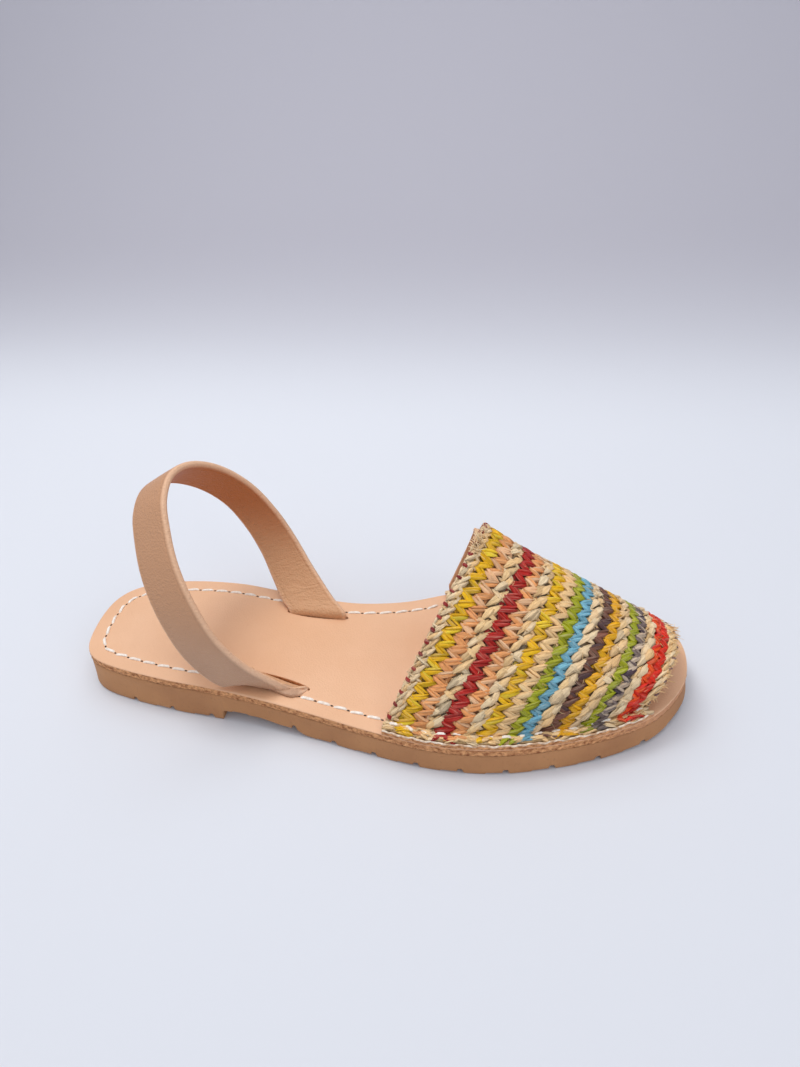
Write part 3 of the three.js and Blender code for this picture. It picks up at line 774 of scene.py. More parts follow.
# Over the lateral slit the band's outer face swells outwards and rolls over the slit's rim.
# Places along the band are counted in its rows, from 0 at the end below the lateral slit. From
# CLEAR_FROM to CLEAR_TO it stays clear of the insole, but for its front edge in the slit.
SWELL = 4.7 * MM
SWELL_FROM = 0.85
SWELL_TO = 3.5
INNER_SWELL = 0.35  # share of the swell that its inner face takes
ROLL_FROM = 1.4
ROLL_FULL = 1.9
ROLL_TO = 4.2
ROLL_HEIGHT = 1.8 * MM
ROLL_SUNK = 1.2 * MM
CLEAR_FROM = 2
CLEAR_TO = 4.8
CLEAR_GAP = 0.12 * MM
SLIT_SINK = 5 * MM
rings = []
for step, (middle, lead, up) in enumerate(zip(band_middle, band_lead, band_out)):
    knot = step / SPAN_STEPS
    swell_share = min(max((knot - SWELL_FROM) / (SWELL_TO - SWELL_FROM), 0), 1)
    swell = SWELL * math.sin(math.pi * swell_share**0.7)
    bulge = swell * (1 - np.abs(across) ** 6) * (1 + 0.3 * across)
    bulge = bulge * (INNER_SWELL + (1 - INNER_SWELL) * np.clip(out / 2 + 0.5, 0, 1))
    ring = middle + lead * across[:, None] + up * (out * STRAP_THICKNESS / 2 + bulge)[:, None]
    top = insole_top(ring[:, 0])
    if ROLL_FROM <= knot <= CLEAR_TO:
        rolled = min((knot - ROLL_FROM) / (ROLL_FULL - ROLL_FROM), 1) * min(max(ROLL_TO - knot, 0), 1)
        roll_height = (ROLL_HEIGHT + ROLL_SUNK) * rolled - ROLL_SUNK
        roll_floor = top + roll_height * (1 - np.abs(across) ** 6)
        ring[:, 2] = np.where(out > 0, np.maximum(ring[:, 2], roll_floor), ring[:, 2])
    if CLEAR_FROM <= knot <= CLEAR_TO:
        sink = SLIT_SINK * np.maximum(across - 0.1, 0)
        ring[:, 2] = np.maximum(ring[:, 2], top + CLEAR_GAP - sink)
    rings.append(ring)
strap_points, strap_faces = stack_rings(rings)
width_points = len(band_section)
strap_faces = strap_faces.tolist() + [
    tuple(range(width_points)),
    tuple(range(len(strap_points) - 1, len(strap_points) - 1 - width_points, -1)),
]

strap_leather, tree, shader = new_finish("strap_leather", 0.48)
place = node(tree, "ShaderNodeTexCoord").outputs["Object"]
clouds = noise(tree, place, 32.0, 5.0)
tones = toned(tree, clouds, 0.28, colour(184, 144, 116), 0.74, colour(197, 157, 127))
band_place = node(tree, "ShaderNodeAttribute", attribute_name="band_place").outputs["Vector"]
parts = node(tree, "ShaderNodeSeparateXYZ", {"Vector": band_place})
heights = node(tree, "ShaderNodeSeparateXYZ", {"Vector": place})
# Painted shade: the strap darkens towards its top, the inner face most, where it turns down and away
# from the lights.
strap_shade_share = ranged(tree, heights.outputs["Z"], STRAP_SHADE_FROM, STRAP_SHADE_TO, curve="SMOOTHSTEP")
inner_tone = blended(tree, strap_shade_share, colour(210, 161, 120), colour(182, 112, 66))
outer_tone = blended(tree, strap_shade_share, tones, colour(196, 148, 112))
inner_side = blended(tree, parts.outputs["Z"], outer_tone, inner_tone)
# Painted highlight: the band's rolled edges are lightened as if they caught the light.
rim = node(tree, "ShaderNodeMath", {0: parts.outputs["Y"]}, operation="ABSOLUTE")
rim_highlight_share = ranged(tree, rim.outputs["Value"], 0.84, 0.95, high=0.5)
rim_highlighted = blended(tree, rim_highlight_share, inner_side, colour(250, 208, 172))
tree.links.new(rim_highlighted, shader.inputs["Base Color"])
wrinkle_map = node(tree, "ShaderNodeMapping", {
    "Vector": band_place, "Scale": (1.0, 0.004, 0.0), "Rotation": (0, 0, 0.25)})
wrinkles = noise(tree, wrinkle_map.outputs["Vector"], 420.0, 3.0, Distortion=1.2)
wrinkle_share = ranged(tree, parts.outputs["Z"], 0.0, 1.0, 0.16, 0.65)
folds = node(tree, "ShaderNodeMath", {0: wrinkles, 1: wrinkle_share}, operation="MULTIPLY")
hairs = node(tree, "ShaderNodeTexVoronoi", {"Vector": place, "Scale": 1300.0}).outputs["Distance"]
hair_relief = node(tree, "ShaderNodeMath", {0: hairs, 1: 0.25}, operation="MULTIPLY")
relief = node(tree, "ShaderNodeMath", {
    0: folds.outputs["Value"], 1: hair_relief.outputs["Value"]})
grained(tree, shader, relief.outputs["Value"], 0.8, 1.1 * MM)
shader.inputs["Coat Weight"].default_value = 0.03
shader.inputs["Coat Roughness"].default_value = 0.4
shader.inputs["Specular IOR Level"].default_value = 0.25


def note_points(piece, name, kind, field, values):
    """Gives each point of a piece a value that its finish reads."""
    kept_note = piece.data.attributes.new(name, kind, "POINT")
    kept_note.data.foreach_set(field, values.astype(np.float32).ravel())


strap = mesh_piece("leather_heel_strap", strap_points, strap_faces, strap_leather)
facing_in = np.clip(-out, 0, 1) ** 0.5
notes = np.stack(
    [
        np.repeat(run_along(band_middle), width_points),
        np.tile(across, len(band_middle)),
        np.tile(facing_in, len(band_middle)),
    ],
    axis=1,
)
note_points(strap, "band_place", "FLOAT_VECTOR", "vector", notes)
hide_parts("heel_strap")
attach(strap, "root")

# Vamp lining
# The inside of the vamp is one piece of thin tan leather, glued behind the raffia. Its lower
# margins are lasted flat on the insole, where its cut edge shows as a pale line.
VAMP_THICKNESS = 2.2 * MM
VAMP_FLANGE = 4.6 * MM
VAMP_INSTEP = 52.5 * MM
SEAT_GAP = 0.3 * MM
CROWN = [  # throat to toe: along the sole, across in ball widths, height in insteps
    (0.673, 0.161, 1.0), (0.75, 0.098, 0.782), (0.826, 0.044, 0.622), (0.9, -0.005, 0.468),
    (0.969, -0.03, 0.3),
]
VAMP_FEET = {"lateral": (0.547, 0.935), "medial": (0.602, 0.961)}  # throat, toe
ARCH_SPREAD = 1.1
ARCH_PEAK = 1.25
VAMP_ROWS = 161
VAMP_COLUMNS = 241


def side_edge(side, x):
    """The sole's edge on one side at each x, with the way inwards."""
    forward = edge_ahead[:, 0] > 0 if side == "lateral" else edge_ahead[:, 0] < 0
    order = np.argsort(edge_xy[forward, 0])
    known = edge_xy[forward][order]
    inward = edge_in[forward][order]
    spot = np.stack([x, np.interp(x, known[:, 0], known[:, 1])], axis=-1)
    way = np.stack([np.interp(x, known[:, 0], inward[:, k]) for k in range(2)], axis=-1)
    return spot, unit(way)


def vamp_foot(side, share, inset):
    """A line of the margin at a distance in from the sole's edge, at the raffia's skin."""
    throat, toe = VAMP_FEET[side]
    x = HEEL_X + (throat + (toe - throat) * share) * SOLE_LENGTH
    spot, way = side_edge(side, x)
    xy = spot + way * np.asarray(inset)[..., None]
    return np.concatenate([xy, (insole_top(xy[..., 0]) + SEAT_GAP + VAMP_THICKNESS)[..., None]], axis=-1)


def crown_at(share):
    """The line over the top of the vamp, from throat to toe."""
    dense = smooth_line(CROWN, 40)
    at = np.linspace(0, 1, len(dense))
    along, across, rise = (np.interp(share, at, dense[:, k]) for k in range(3))
    x = HEEL_X + along * SOLE_LENGTH
    return np.stack([x, AXIS_Y + across * BALL_WIDTH, insole_top(x) + rise * VAMP_INSTEP], axis=-1)


shares = np.linspace(0, 1, VAMP_ROWS)
turns = np.linspace(0, math.pi, VAMP_COLUMNS)
lateral_foot = vamp_foot("lateral", shares, VAMP_FLANGE)
medial_foot = vamp_foot("medial", shares, VAMP_FLANGE)
arch_rise = crown_at(shares) - (lateral_foot + medial_foot) / 2
arch_across = (1 - np.sign(np.cos(turns)) * np.abs(np.cos(turns)) ** ARCH_SPREAD) / 2
arch_up = np.sin(turns).clip(0) ** ARCH_PEAK
arches = (
    lateral_foot[:, None] * (1 - arch_across[None, :, None])
    + medial_foot[:, None] * arch_across[None, :, None]
    + arch_rise[:, None] * arch_up[None, :, None]
)
skin = np.empty_like(arches)
strip_length = np.empty(VAMP_ROWS)
for row, arch in enumerate(arches):
    run = run_along(arch)
    strip_length[row] = run[-1]
    at = np.linspace(0, run[-1], VAMP_COLUMNS)
    skin[row] = np.stack([np.interp(at, run, arch[:, k]) for k in range(3)], axis=1)
skin_out = unit(np.cross(np.gradient(skin, axis=0), np.gradient(skin, axis=1)))
if skin_out[VAMP_ROWS // 2, VAMP_COLUMNS // 2, 2] < 0:
    skin_out = -skin_out


def on_vamp(across, along):
    """Points of the vamp's skin and the way out of it. Across runs from the lateral foot (0)
    to the medial foot (1), along from the throat (0) to the toe (1), and a little past it."""
    column = np.clip(across, 0, 1) * (VAMP_COLUMNS - 1)
    row = np.asarray(along) * (VAMP_ROWS - 1)
    j = np.clip(np.floor(column).astype(int), 0, VAMP_COLUMNS - 2)
    i = np.clip(np.floor(row).astype(int), 0, VAMP_ROWS - 2)
    u = (column - j)[..., None]
    v = (row - i)[..., None]
    spot = (skin[i, j] * (1 - u) + skin[i, j + 1] * u) * (1 - v) + (
        skin[i + 1, j] * (1 - u) + skin[i + 1, j + 1] * u
    ) * v
    v = np.clip(v, 0, 1)
    way = (skin_out[i, j] * (1 - u) + skin_out[i, j + 1] * u) * (1 - v) + (
        skin_out[i + 1, j] * (1 - u) + skin_out[i + 1, j + 1] * u
    ) * v
    return spot, unit(way)


def vamp_sheet(top, bottom, margin_inset, columns, rows):
    """A closed sheet of the vamp between two depths below its skin, with its margins.
    Returns the points, the faces, and for each point its place across and along."""
    along = np.linspace(0, 1, rows)
    across = np.linspace(0, 1, columns)
    grid_along, grid_across = np.meshgrid(along, across, indexing="ij")
    spot, way = on_vamp(grid_across, grid_along)
    margin = np.array([0.0, 0.33, 0.66])
    layers = []
    for depth in (top, bottom):
        body = spot - way * depth
        sides = []
        for side, shares_out in (("lateral", margin), ("medial", margin[::-1])):
            strips = []
            for share in shares_out:
                inset = margin_inset + (VAMP_FLANGE - margin_inset) * share
                strip = vamp_foot(side, along, inset)
                strip[:, 2] -= depth
                strips.append(strip)
            sides.append(np.stack(strips, axis=1))
        layers.append(np.concatenate([sides[0], body, sides[1]], axis=1))
    wide = layers[0].shape[1]
    at = np.arange(rows * wide).reshape(rows, wide)
    upper = np.stack([at[:-1, :-1], at[1:, :-1], at[1:, 1:], at[:-1, 1:]], axis=-1).reshape(-1, 4)
    shift = rows * wide
    lower = upper[:, ::-1] + shift
    rim = np.concatenate([at[0, :], at[1:, -1], at[-1, -2::-1], at[-2:0:-1, 0]])
    onward = np.roll(rim, -1)
    wall = np.stack([onward, rim, rim + shift, onward + shift], axis=1)
    places_across = np.concatenate([np.zeros(3), across, np.ones(3)])
    places = np.stack(np.meshgrid(along, places_across, indexing="ij"), axis=-1).reshape(-1, 2)
    points = np.concatenate([layer.reshape(-1, 3) for layer in layers])
    return points, np.vstack([upper, lower, wall]), np.vstack([places, places])


LINING_SHOWS = 3.2 * MM  # how far it reaches out of the throat on the medial side
LINING_TOP = 1.25 * MM
LINING_BOTTOM = VAMP_THICKNESS - 0.02 * MM
LINING_INSET = -0.15 * MM
LINING_COLUMNS = 121
LINING_ROWS = 81
lining_points, lining_faces, places = vamp_sheet(
    LINING_TOP, LINING_BOTTOM, LINING_INSET, LINING_COLUMNS, LINING_ROWS)
near_throat = np.clip(1 - places[:, 0] / 0.08, 0, 1) ** 2
medial_share = np.clip((places[:, 1] - 0.5) / 0.12, 0, 1) * np.clip((1 - places[:, 1]) / 0.05, 0, 1)
lining_points[:, 0] -= LINING_SHOWS * near_throat * medial_share
lining_points[:, 2] += 0.06 * MM * np.sin(lining_points[:, 0] * 900) * (lining_points[:, 2] < 0.02)

lining, tree, shader = new_finish("lining_leather", 0.62)
place = node(tree, "ShaderNodeTexCoord").outputs["Object"]
clouds = noise(tree, place, 60.0, 5.0)
tones = toned(tree, clouds, 0.3, colour(206, 156, 114), 0.7, colour(226, 180, 138))
tree.links.new(tones, shader.inputs["Base Color"])
grained(tree, shader, clouds, 0.3, 0.6 * MM)
vamp_lining = mesh_piece("vamp_lining", lining_points, lining_faces, lining)
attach(vamp_lining, "root")

# Raffia braids
# The vamp is sewn from flat braids of dyed raffia that run over the instep from margin to
# margin. A zigzag braid is two nested cords of folded leaves, a twist is one loose cord.
STRAW = (255, 212, 150)
PALE_STRAW = (255, 224, 176)
YELLOW = (240, 186, 2)
GOLD = (242, 176, 2)
PEACH = (243, 166, 100)
DARK_RED = (184, 22, 10)
GREEN = (164, 168, 4)
SKY = (116, 178, 198)
BROWN = (116, 72, 54)
SLATE = (118, 102, 98)
ORANGE_RED = (255, 84, 10)
SCARLET = (232, 40, 12)
BRAIDS = [  # kind, width on the crown in mm, colour on the throat side, colour on the toe side
    ("edge", 3.4, PALE_STRAW, STRAW),
    ("zigzag", 9.6, YELLOW, PEACH),
    ("twist", 4.4, STRAW, PALE_STRAW),
    ("zigzag", 9.6, DARK_RED, PEACH),
    ("twist", 4.4, STRAW, PALE_STRAW),
    ("zigzag", 9.6, YELLOW, STRAW),
    ("zigzag", 8.0, GREEN, SKY),
    ("twist", 4.4, PALE_STRAW, STRAW),
    ("zigzag", 8.0, BROWN, GOLD),
    ("twist", 4.4, STRAW, PALE_STRAW),
    ("zigzag", 7.6, GREEN, SLATE),
    ("twist", 4.0, PALE_STRAW, STRAW),
    ("zigzag", 6.4, ORANGE_RED, SCARLET),
    ("edge", 4.0, STRAW, PALE_STRAW),
]
# Dyes that were mixed into a cord: the share of its leaves and their colour.
MIXED_IN = {
    SLATE: [(0.36, (196, 174, 150)), (0.2, (70, 54, 66))],
    BROWN: [(0.2, (134, 84, 66)), (0.12, (84, 56, 56))],
    ORANGE_RED: [(0.3, (222, 36, 14))],
    PEACH: [(0.3, (250, 196, 146))],
    YELLOW: [(0.2, (240, 204, 40))],
    GREEN: [(0.25, (172, 176, 36))],
}
TOOTH_PITCH = 5.4 * MM
LEAF_HALF_HEIGHT = 0.74 * MM
LEAF_STEPS = 10
LEAF_ENDS = (-0.55 * MM, -0.02 * MM)  # height of its start and end over the vamp's skin
# Section of a flat folded leaf: nine points over its back and two under it.
LEAF_AROUND = np.radians(list(np.linspace(3, 177, 9)) + [230, 310])
# The leaf of a cord is split in two: half width and place beside its line.
LEAF_PARTS = ((1.22 * MM, -0.34 * MM), (0.86 * MM, 0.86 * MM))
# How far the two cords of a zigzag swing, in shares of the braid's width, and how high the
# leaves of their two slopes lie. Low leaves fill the notches.
CORD_SWINGS = ((-0.13, 0.60), (0.38, 1.10))
CORD_LIFTS = (0.56 * MM, 0.42 * MM)
FILL_LEAF = (1.2 * MM, 0.45 * MM)  # half width, half height
FILL_ENDS = (-0.4 * MM, -0.35 * MM)
FILL_LIFT = 0.1 * MM
FILL_STEPS = 6
# The leaves wound round each other: how high they lie, and for each kind of braid their half
# width and half height, their pitch and their length.
WOUND_ENDS = (-0.3 * MM, -0.2 * MM)
WOUND_LIFT = 0.78 * MM
UNDER_LIFT = 0.5 * MM
TWIST_LEAF = (1.85 * MM, 0.62 * MM)
TWIST_PITCH = TOOTH_PITCH * 1.05
TWIST_REACH = 7.2 * MM
EDGE_LEAF = (0.95 * MM, 0.5 * MM)
EDGE_PITCH = TOOTH_PITCH * 0.62
EDGE_REACH = 5.4 * MM
# The straw that binds a free edge.
RIM_LEAF = (0.7 * MM, 0.6 * MM)
RIM_LIFT = 0.45 * MM
RIM_DEPTHS = (0.5 * MM, 1.15 * MM)
RIM_TUCK = 0.4 * MM
OFF_EDGE = 0.0035  # in lengths of the vamp

braid_total = sum(braid[1] for braid in BRAIDS)
braid_ends = np.concatenate([[0], np.cumsum([braid[1] for braid in BRAIDS])]) / braid_total

raffia, tree, shader = new_finish("dyed_raffia", 0.38)
dye = node(tree, "ShaderNodeAttribute", attribute_name="dye").outputs["Color"]
leaf_place = node(tree, "ShaderNodeAttribute", attribute_name="leaf_place")
stretched = node(tree, "ShaderNodeMapping", {
    "Vector": leaf_place.outputs["Vector"], "Scale": (1.7, 0.14, 1.0)})
streaks = noise(tree, stretched.outputs["Vector"], 1.0, 4.0, Roughness=0.65)
# Pale streaks along the fibres: partly uneven dye, partly painted highlight.
light_streaks = ranged(tree, streaks, 0.5, 0.68)
dark_streaks = ranged(tree, streaks, 0.44, 0.3, high=0.9)
pale_dye_highlight = blended(tree, 0.2, dye, colour(255, 236, 206))
faded_and_highlit = blended(tree, light_streaks, dye, pale_dye_highlight)
deep_dye = blended(tree, 0.42, dye, colour(96, 52, 20))
deep = blended(tree, dark_streaks, faded_and_highlit, deep_dye)
tree.links.new(deep, shader.inputs["Base Color"])
grained(tree, shader, streaks, 1.0, 0.9 * MM)
shader.inputs["Coat Weight"].default_value = 0.12
shader.inputs["Coat Roughness"].default_value = 0.2
shader.inputs["Specular IOR Level"].default_value = 0.3


def dyed(base, count, rng, spread=0.1):
    """Colours around one dye: each leaf takes it a little lighter, darker or warmer."""
    tone = np.tile(np.array(colour(*base)[:3]), (count, 1))
    lot = rng.random(count)
    for share, other in MIXED_IN.get(base, []):
        tone[lot < share] = colour(*other)[:3]
        lot = np.where(lot < share, 1.0, lot - share)
    shade = np.exp(rng.normal(0, spread, (count, 1)))
    warmth = rng.normal(0, spread * 0.2, (count, 1)) * np.array([[1.0, 0.0, -1.0]])
    tone = tone * shade * (1 + warmth)
    return tone / np.maximum(tone.max(axis=1, keepdims=True), 1)


def raffia_piece(name, batches):
    """One object from batches of leaves: points, faces, colours and places on the leaf."""
    points = np.vstack([batch[0] for batch in batches])
    faces = []
    start = 0
    for batch in batches:
        faces.extend([tuple(start + v for v in face) for face in batch[1]])
        start += len(batch[0])
    piece = mesh_piece(name, points, faces, raffia)
    tints = np.vstack([batch[2] for batch in batches])
    tints = np.column_stack([tints, np.ones(len(tints))])
    places = np.vstack([batch[3] for batch in batches])
    note_points(piece, "dye", "FLOAT_COLOR", "color", tints)
    note_points(piece, "leaf_place", "FLOAT_VECTOR", "vector", places)
    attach(piece, "root")
    return piece


def even_bends(steps):
    """Shares along a leaf, closer together at its two ends."""
    return (1 - np.cos(np.linspace(0, math.pi, steps))) / 2


def leaves(lines, ups, half_width, half_height, tints, rng, sharp=0.6, crumple=0.2, kite=False):
    """Folded leaves along lines: broad in the middle and pointed at both ends, or with two
    straight sides to each point."""
    count, steps = lines.shape[:2]
    sides = len(LEAF_AROUND)
    run = even_bends(steps)
    skew = np.exp(rng.normal(0, 0.16, (count, 1)))
    belly = np.sin(math.pi * run[None, :] ** skew).clip(0) ** sharp
    if kite:
        corner = rng.uniform(0.3, 0.7, (count, 1))
        belly = np.minimum(run / corner, (1 - run) / (1 - corner)) ** sharp
    belly = 0.05 + 0.95 * belly
    wide = half_width * np.exp(rng.normal(0, 0.1, (count, 1))) * belly
    tall = half_height * np.exp(rng.normal(0, 0.12, (count, 1))) * belly**0.8
    fold_count = rng.uniform(2.6, 4.4, (count, 1, 1))
    fold_turn = rng.normal(0, 1.0, (count, 1, 1)) * run[None, :, None]
    fold_start = rng.uniform(0, 6.28, (count, 1, 1))
    folds = np.cos(fold_count * math.pi * np.cos(LEAF_AROUND) + fold_turn + fold_start)
    over = np.sin(LEAF_AROUND) > 0
    flat_back = np.abs(np.sin(LEAF_AROUND)) ** 0.25
    relief = np.where(over, flat_back * (1 + crumple * folds), 1.0)
    points, faces = strands(lines, ups, wide, tall, LEAF_AROUND, relief)
    reach = np.cos(LEAF_AROUND) * half_width / MM
    length = np.linalg.norm(np.diff(lines, axis=1), axis=2).sum(axis=1) / MM
    seeds = rng.uniform(0, 900, count)
    places = np.stack(
        [
            np.broadcast_to(reach, (count, steps, sides)) + seeds[:, None, None],
            np.broadcast_to(run[None, :, None] * length[:, None, None], (count, steps, sides)),
            np.broadcast_to(seeds[:, None, None], (count, steps, sides)),
        ],
        axis=-1,
    ).reshape(-1, 3)
    colours = np.repeat(tints, steps * sides, axis=0)
    return points, faces, colours, places


def vamp_lines(start, end, bow, lift, tucked, tip, steps=LEAF_STEPS):
    """Lines of leaves over the vamp, from (across, along) to (across, along) places. They
    begin tucked under the skin and end at the height of the tip."""
    run = even_bends(steps)[None, :]
    path = start[:, None, :] + (end - start)[:, None, :] * run[..., None]
    hump = np.sin(math.pi * run)
    path[..., 1] += bow[:, None] * hump
    spot, way = on_vamp(path[..., 0], path[..., 1])
    height = tucked * (1 - run) + tip * run + lift[:, None] * hump**0.6
    return spot + way * height[..., None], way


def row_length(along):
    """Length of the vamp's arch at a place along it."""
    return float(np.interp(along, shares, strip_length))


def zigzag_leaves(low, wide, length, dyes, rng):
    """Two nested cords of split leaves, each bent to and fro between two lines."""
    teeth = round(length / TOOTH_PITCH)
    pitch = 1 / teeth
    made = []
    for dye_of, (near, far) in zip(dyes, CORD_SWINGS):
        for slope, (half_width, beside) in [(s, p) for s in (1, 0) for p in LEAF_PARTS]:
            base = (np.arange(teeth) + 0.5 * slope) * pitch + beside / length
            nudge = rng.normal(0, 0.035 * pitch, (teeth, 2))
            over = 0.06 * pitch
            first_side, last_side = (near, far) if slope == 0 else (far, near)
            start = np.stack([base - over, np.full(teeth, first_side)], axis=1)
            end = np.stack([base + 0.5 * pitch + over, np.full(teeth, last_side)], axis=1)
            start[:, 0] += nudge[:, 0]
            end[:, 0] += nudge[:, 1]
            for ends in (start, end):
                ends[:, 1] = low + wide * (ends[:, 1] + rng.normal(0, 0.02, teeth))
            bow = rng.normal(0, 0.015 * wide, teeth)
            lift = CORD_LIFTS[slope] + rng.normal(0, 0.1 * MM, teeth)
            lines, ups = vamp_lines(start, end, bow, lift, *LEAF_ENDS)
            tints = dyed(dye_of, teeth, rng, 0.14)
            made.append(leaves(lines, ups, half_width, LEAF_HALF_HEIGHT, tints, rng))
        # Low leaves along the cord close the notches of its zigzag, darkened as painted shade.
        for beside in (near + 0.14, far - 0.16):
            base = (np.arange(teeth) + rng.uniform(0, 1, teeth)) * pitch
            start = np.stack([base - 0.8 * pitch, np.full(teeth, beside)], axis=1)
            end = np.stack([base + 0.8 * pitch, np.full(teeth, beside)], axis=1)
            for ends in (start, end):
                ends[:, 1] = low + wide * (ends[:, 1] + rng.normal(0, 0.1, teeth))
            lift = FILL_LIFT + rng.normal(0, 0.08 * MM, teeth)
            lines, ups = vamp_lines(start, end, lift * 0, lift, *FILL_ENDS, FILL_STEPS)
            tints = dyed(dye_of, teeth, rng, 0.14) * 0.7
            made.append(leaves(lines, ups, *FILL_LEAF, tints, rng))
    return made


def wound_leaves(low, wide, length, dyes, rng, fine):
    """Two leaves wound round each other, over short ones that lie the other way."""
    leaf_width, leaf_height = EDGE_LEAF if fine else TWIST_LEAF
    count = round(length / (EDGE_PITCH if fine else TWIST_PITCH))
    reach = (EDGE_REACH if fine else TWIST_REACH) / length
    made = []
    for under in (True, False):
        for middle in (0.5,) if under else (0.32, 0.68):
            base = (np.arange(count) + 0.25 + middle) / count
            base += rng.normal(0, 0.09 / count, count)
            tilt = (0.74 if under else 0.38) + rng.normal(0, 0.1, count)
            lean = -1 if under else 1
            span = reach * (0.42 if under else 1.0)
            start = np.stack([base - lean * span / 2, low + wide * (middle - tilt)], axis=1)
            end = np.stack([base + lean * span / 2, low + wide * (middle + tilt)], axis=1)
            bow = rng.normal(0, 0.06 * wide, count)
            lift = (UNDER_LIFT if under else WOUND_LIFT) + rng.normal(0, 0.14 * MM, count)
            lines, ups = vamp_lines(start, end, bow, lift, *WOUND_ENDS)
            tints = dyed(dyes[0], count, rng, 0.13)
            other = rng.random(count) < 0.4
            tints[other] = dyed(dyes[1], int(other.sum()), rng, 0.13)
            half_width = leaf_width * (0.85 if under else 1.0)
            made.append(leaves(
                lines, ups, half_width, leaf_height, tints, rng, 0.8, 0.34, kite=not fine))
    return made


def rim_leaves(off_edge, length, rng):
    """Thinner straw that binds the rim of a free edge."""
    count = round(length / EDGE_PITCH)
    reach = EDGE_REACH / length
    made = []
    for deep in RIM_DEPTHS:
        base = (np.arange(count) + 0.5) / count + rng.normal(0, 0.12 / count, count)
        start = np.stack([base - 0.4 * reach, np.full(count, off_edge)], axis=1)
        end = np.stack([base + 0.4 * reach, np.full(count, off_edge)], axis=1)
        lift = RIM_LIFT + rng.normal(0, 0.1 * MM, count)
        lines, ups = vamp_lines(start, end, lift * 0, lift, -deep - RIM_TUCK, -deep)
        tints = dyed(PALE_STRAW, count, rng, 0.15)
        made.append(leaves(lines, ups, *RIM_LEAF, tints, rng, 0.75, 0.3))
    return made


for number, (kind, _, *dyes) in enumerate(BRAIDS):
    rng = np.random.default_rng(100 + number)
    low, high = braid_ends[number], braid_ends[number + 1]
    length = row_length((low + high) / 2)
    if kind == "zigzag":
        batches = zigzag_leaves(low, high - low, length, dyes, rng)
    else:
        batches = wound_leaves(low, high - low, length, dyes, rng, fine=kind == "edge")
    if kind == "edge":
        batches += rim_leaves(-OFF_EDGE if number == 0 else 1 + OFF_EDGE, length, rng)
    braid = raffia_piece("raffia_braid_%02d" % (number + 1), batches)
    if number == 0:
        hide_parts("raffia_vamp")

# Raffia ground
# Between the leaves the cords cross underneath. This low layer closes the weave and carries
# the colour of the braid above it, and bare straw at the lasted margin, darkened as painted shade.
GROUND_TOP = 0.1 * MM
GROUND_BOTTOM = 1.3 * MM
GROUND_INSET = 0.9 * MM
GROUND_COLUMNS = 121
GROUND_ROWS = 141
ground_points, ground_faces, ground_places = vamp_sheet(
    GROUND_TOP, GROUND_BOTTOM, GROUND_INSET, GROUND_COLUMNS, GROUND_ROWS)


def braid_at(along):
    """Which braid lies at each place along the vamp, and how far across that braid it is."""
    order = np.clip(np.searchsorted(braid_ends, along, side="right") - 1, 0, len(BRAIDS) - 1)
    return order, (along - braid_ends[order]) / (braid_ends[order + 1] - braid_ends[order])


braid_of, across_braid = braid_at(ground_places[:, 0])
throat_tones = np.array([colour(*braid[2])[:3] for braid in BRAIDS])
toe_tones = np.array([colour(*braid[3])[:3] for braid in BRAIDS])
ground_tints = np.where(across_braid[:, None] < 0.5, throat_tones[braid_of], toe_tones[braid_of])
edge_braid = (braid_of == 0) | (braid_of == len(BRAIDS) - 1)
# Painted shade under the leaves: a fifth of the dye, four fifths at the free edges, 0.6 of the straw at
# the margin.
ground_tints = ground_tints * np.where(edge_braid, 0.8, 0.2)[:, None]
in_margin = (ground_places[:, 1] <= 0) | (ground_places[:, 1] >= 1)
ground_tints[in_margin] = np.array(colour(*STRAW)[:3]) * 0.6
ground_notes = np.column_stack(
    [ground_places[:, 0] * 90, ground_places[:, 1] * 150, np.zeros(len(ground_places))]
)
ground = (ground_points, ground_faces.tolist(), ground_tints, ground_notes)
raffia_piece("raffia_ground", [ground])

# Edge whipping
# A dark red thread is whipped over the throat edge and a brown one over the toe edge. They
# tie the outer braids to the lining and show as small dots along the very edges.
WHIPPINGS = [  # place along, way off the edge, pitch, half width, colour
    (0.0, 1, 5.2 * MM, 0.66 * MM, (150, 22, 20)),
    (1.0, -1, 5.0 * MM, 0.36 * MM, (132, 92, 88)),
]
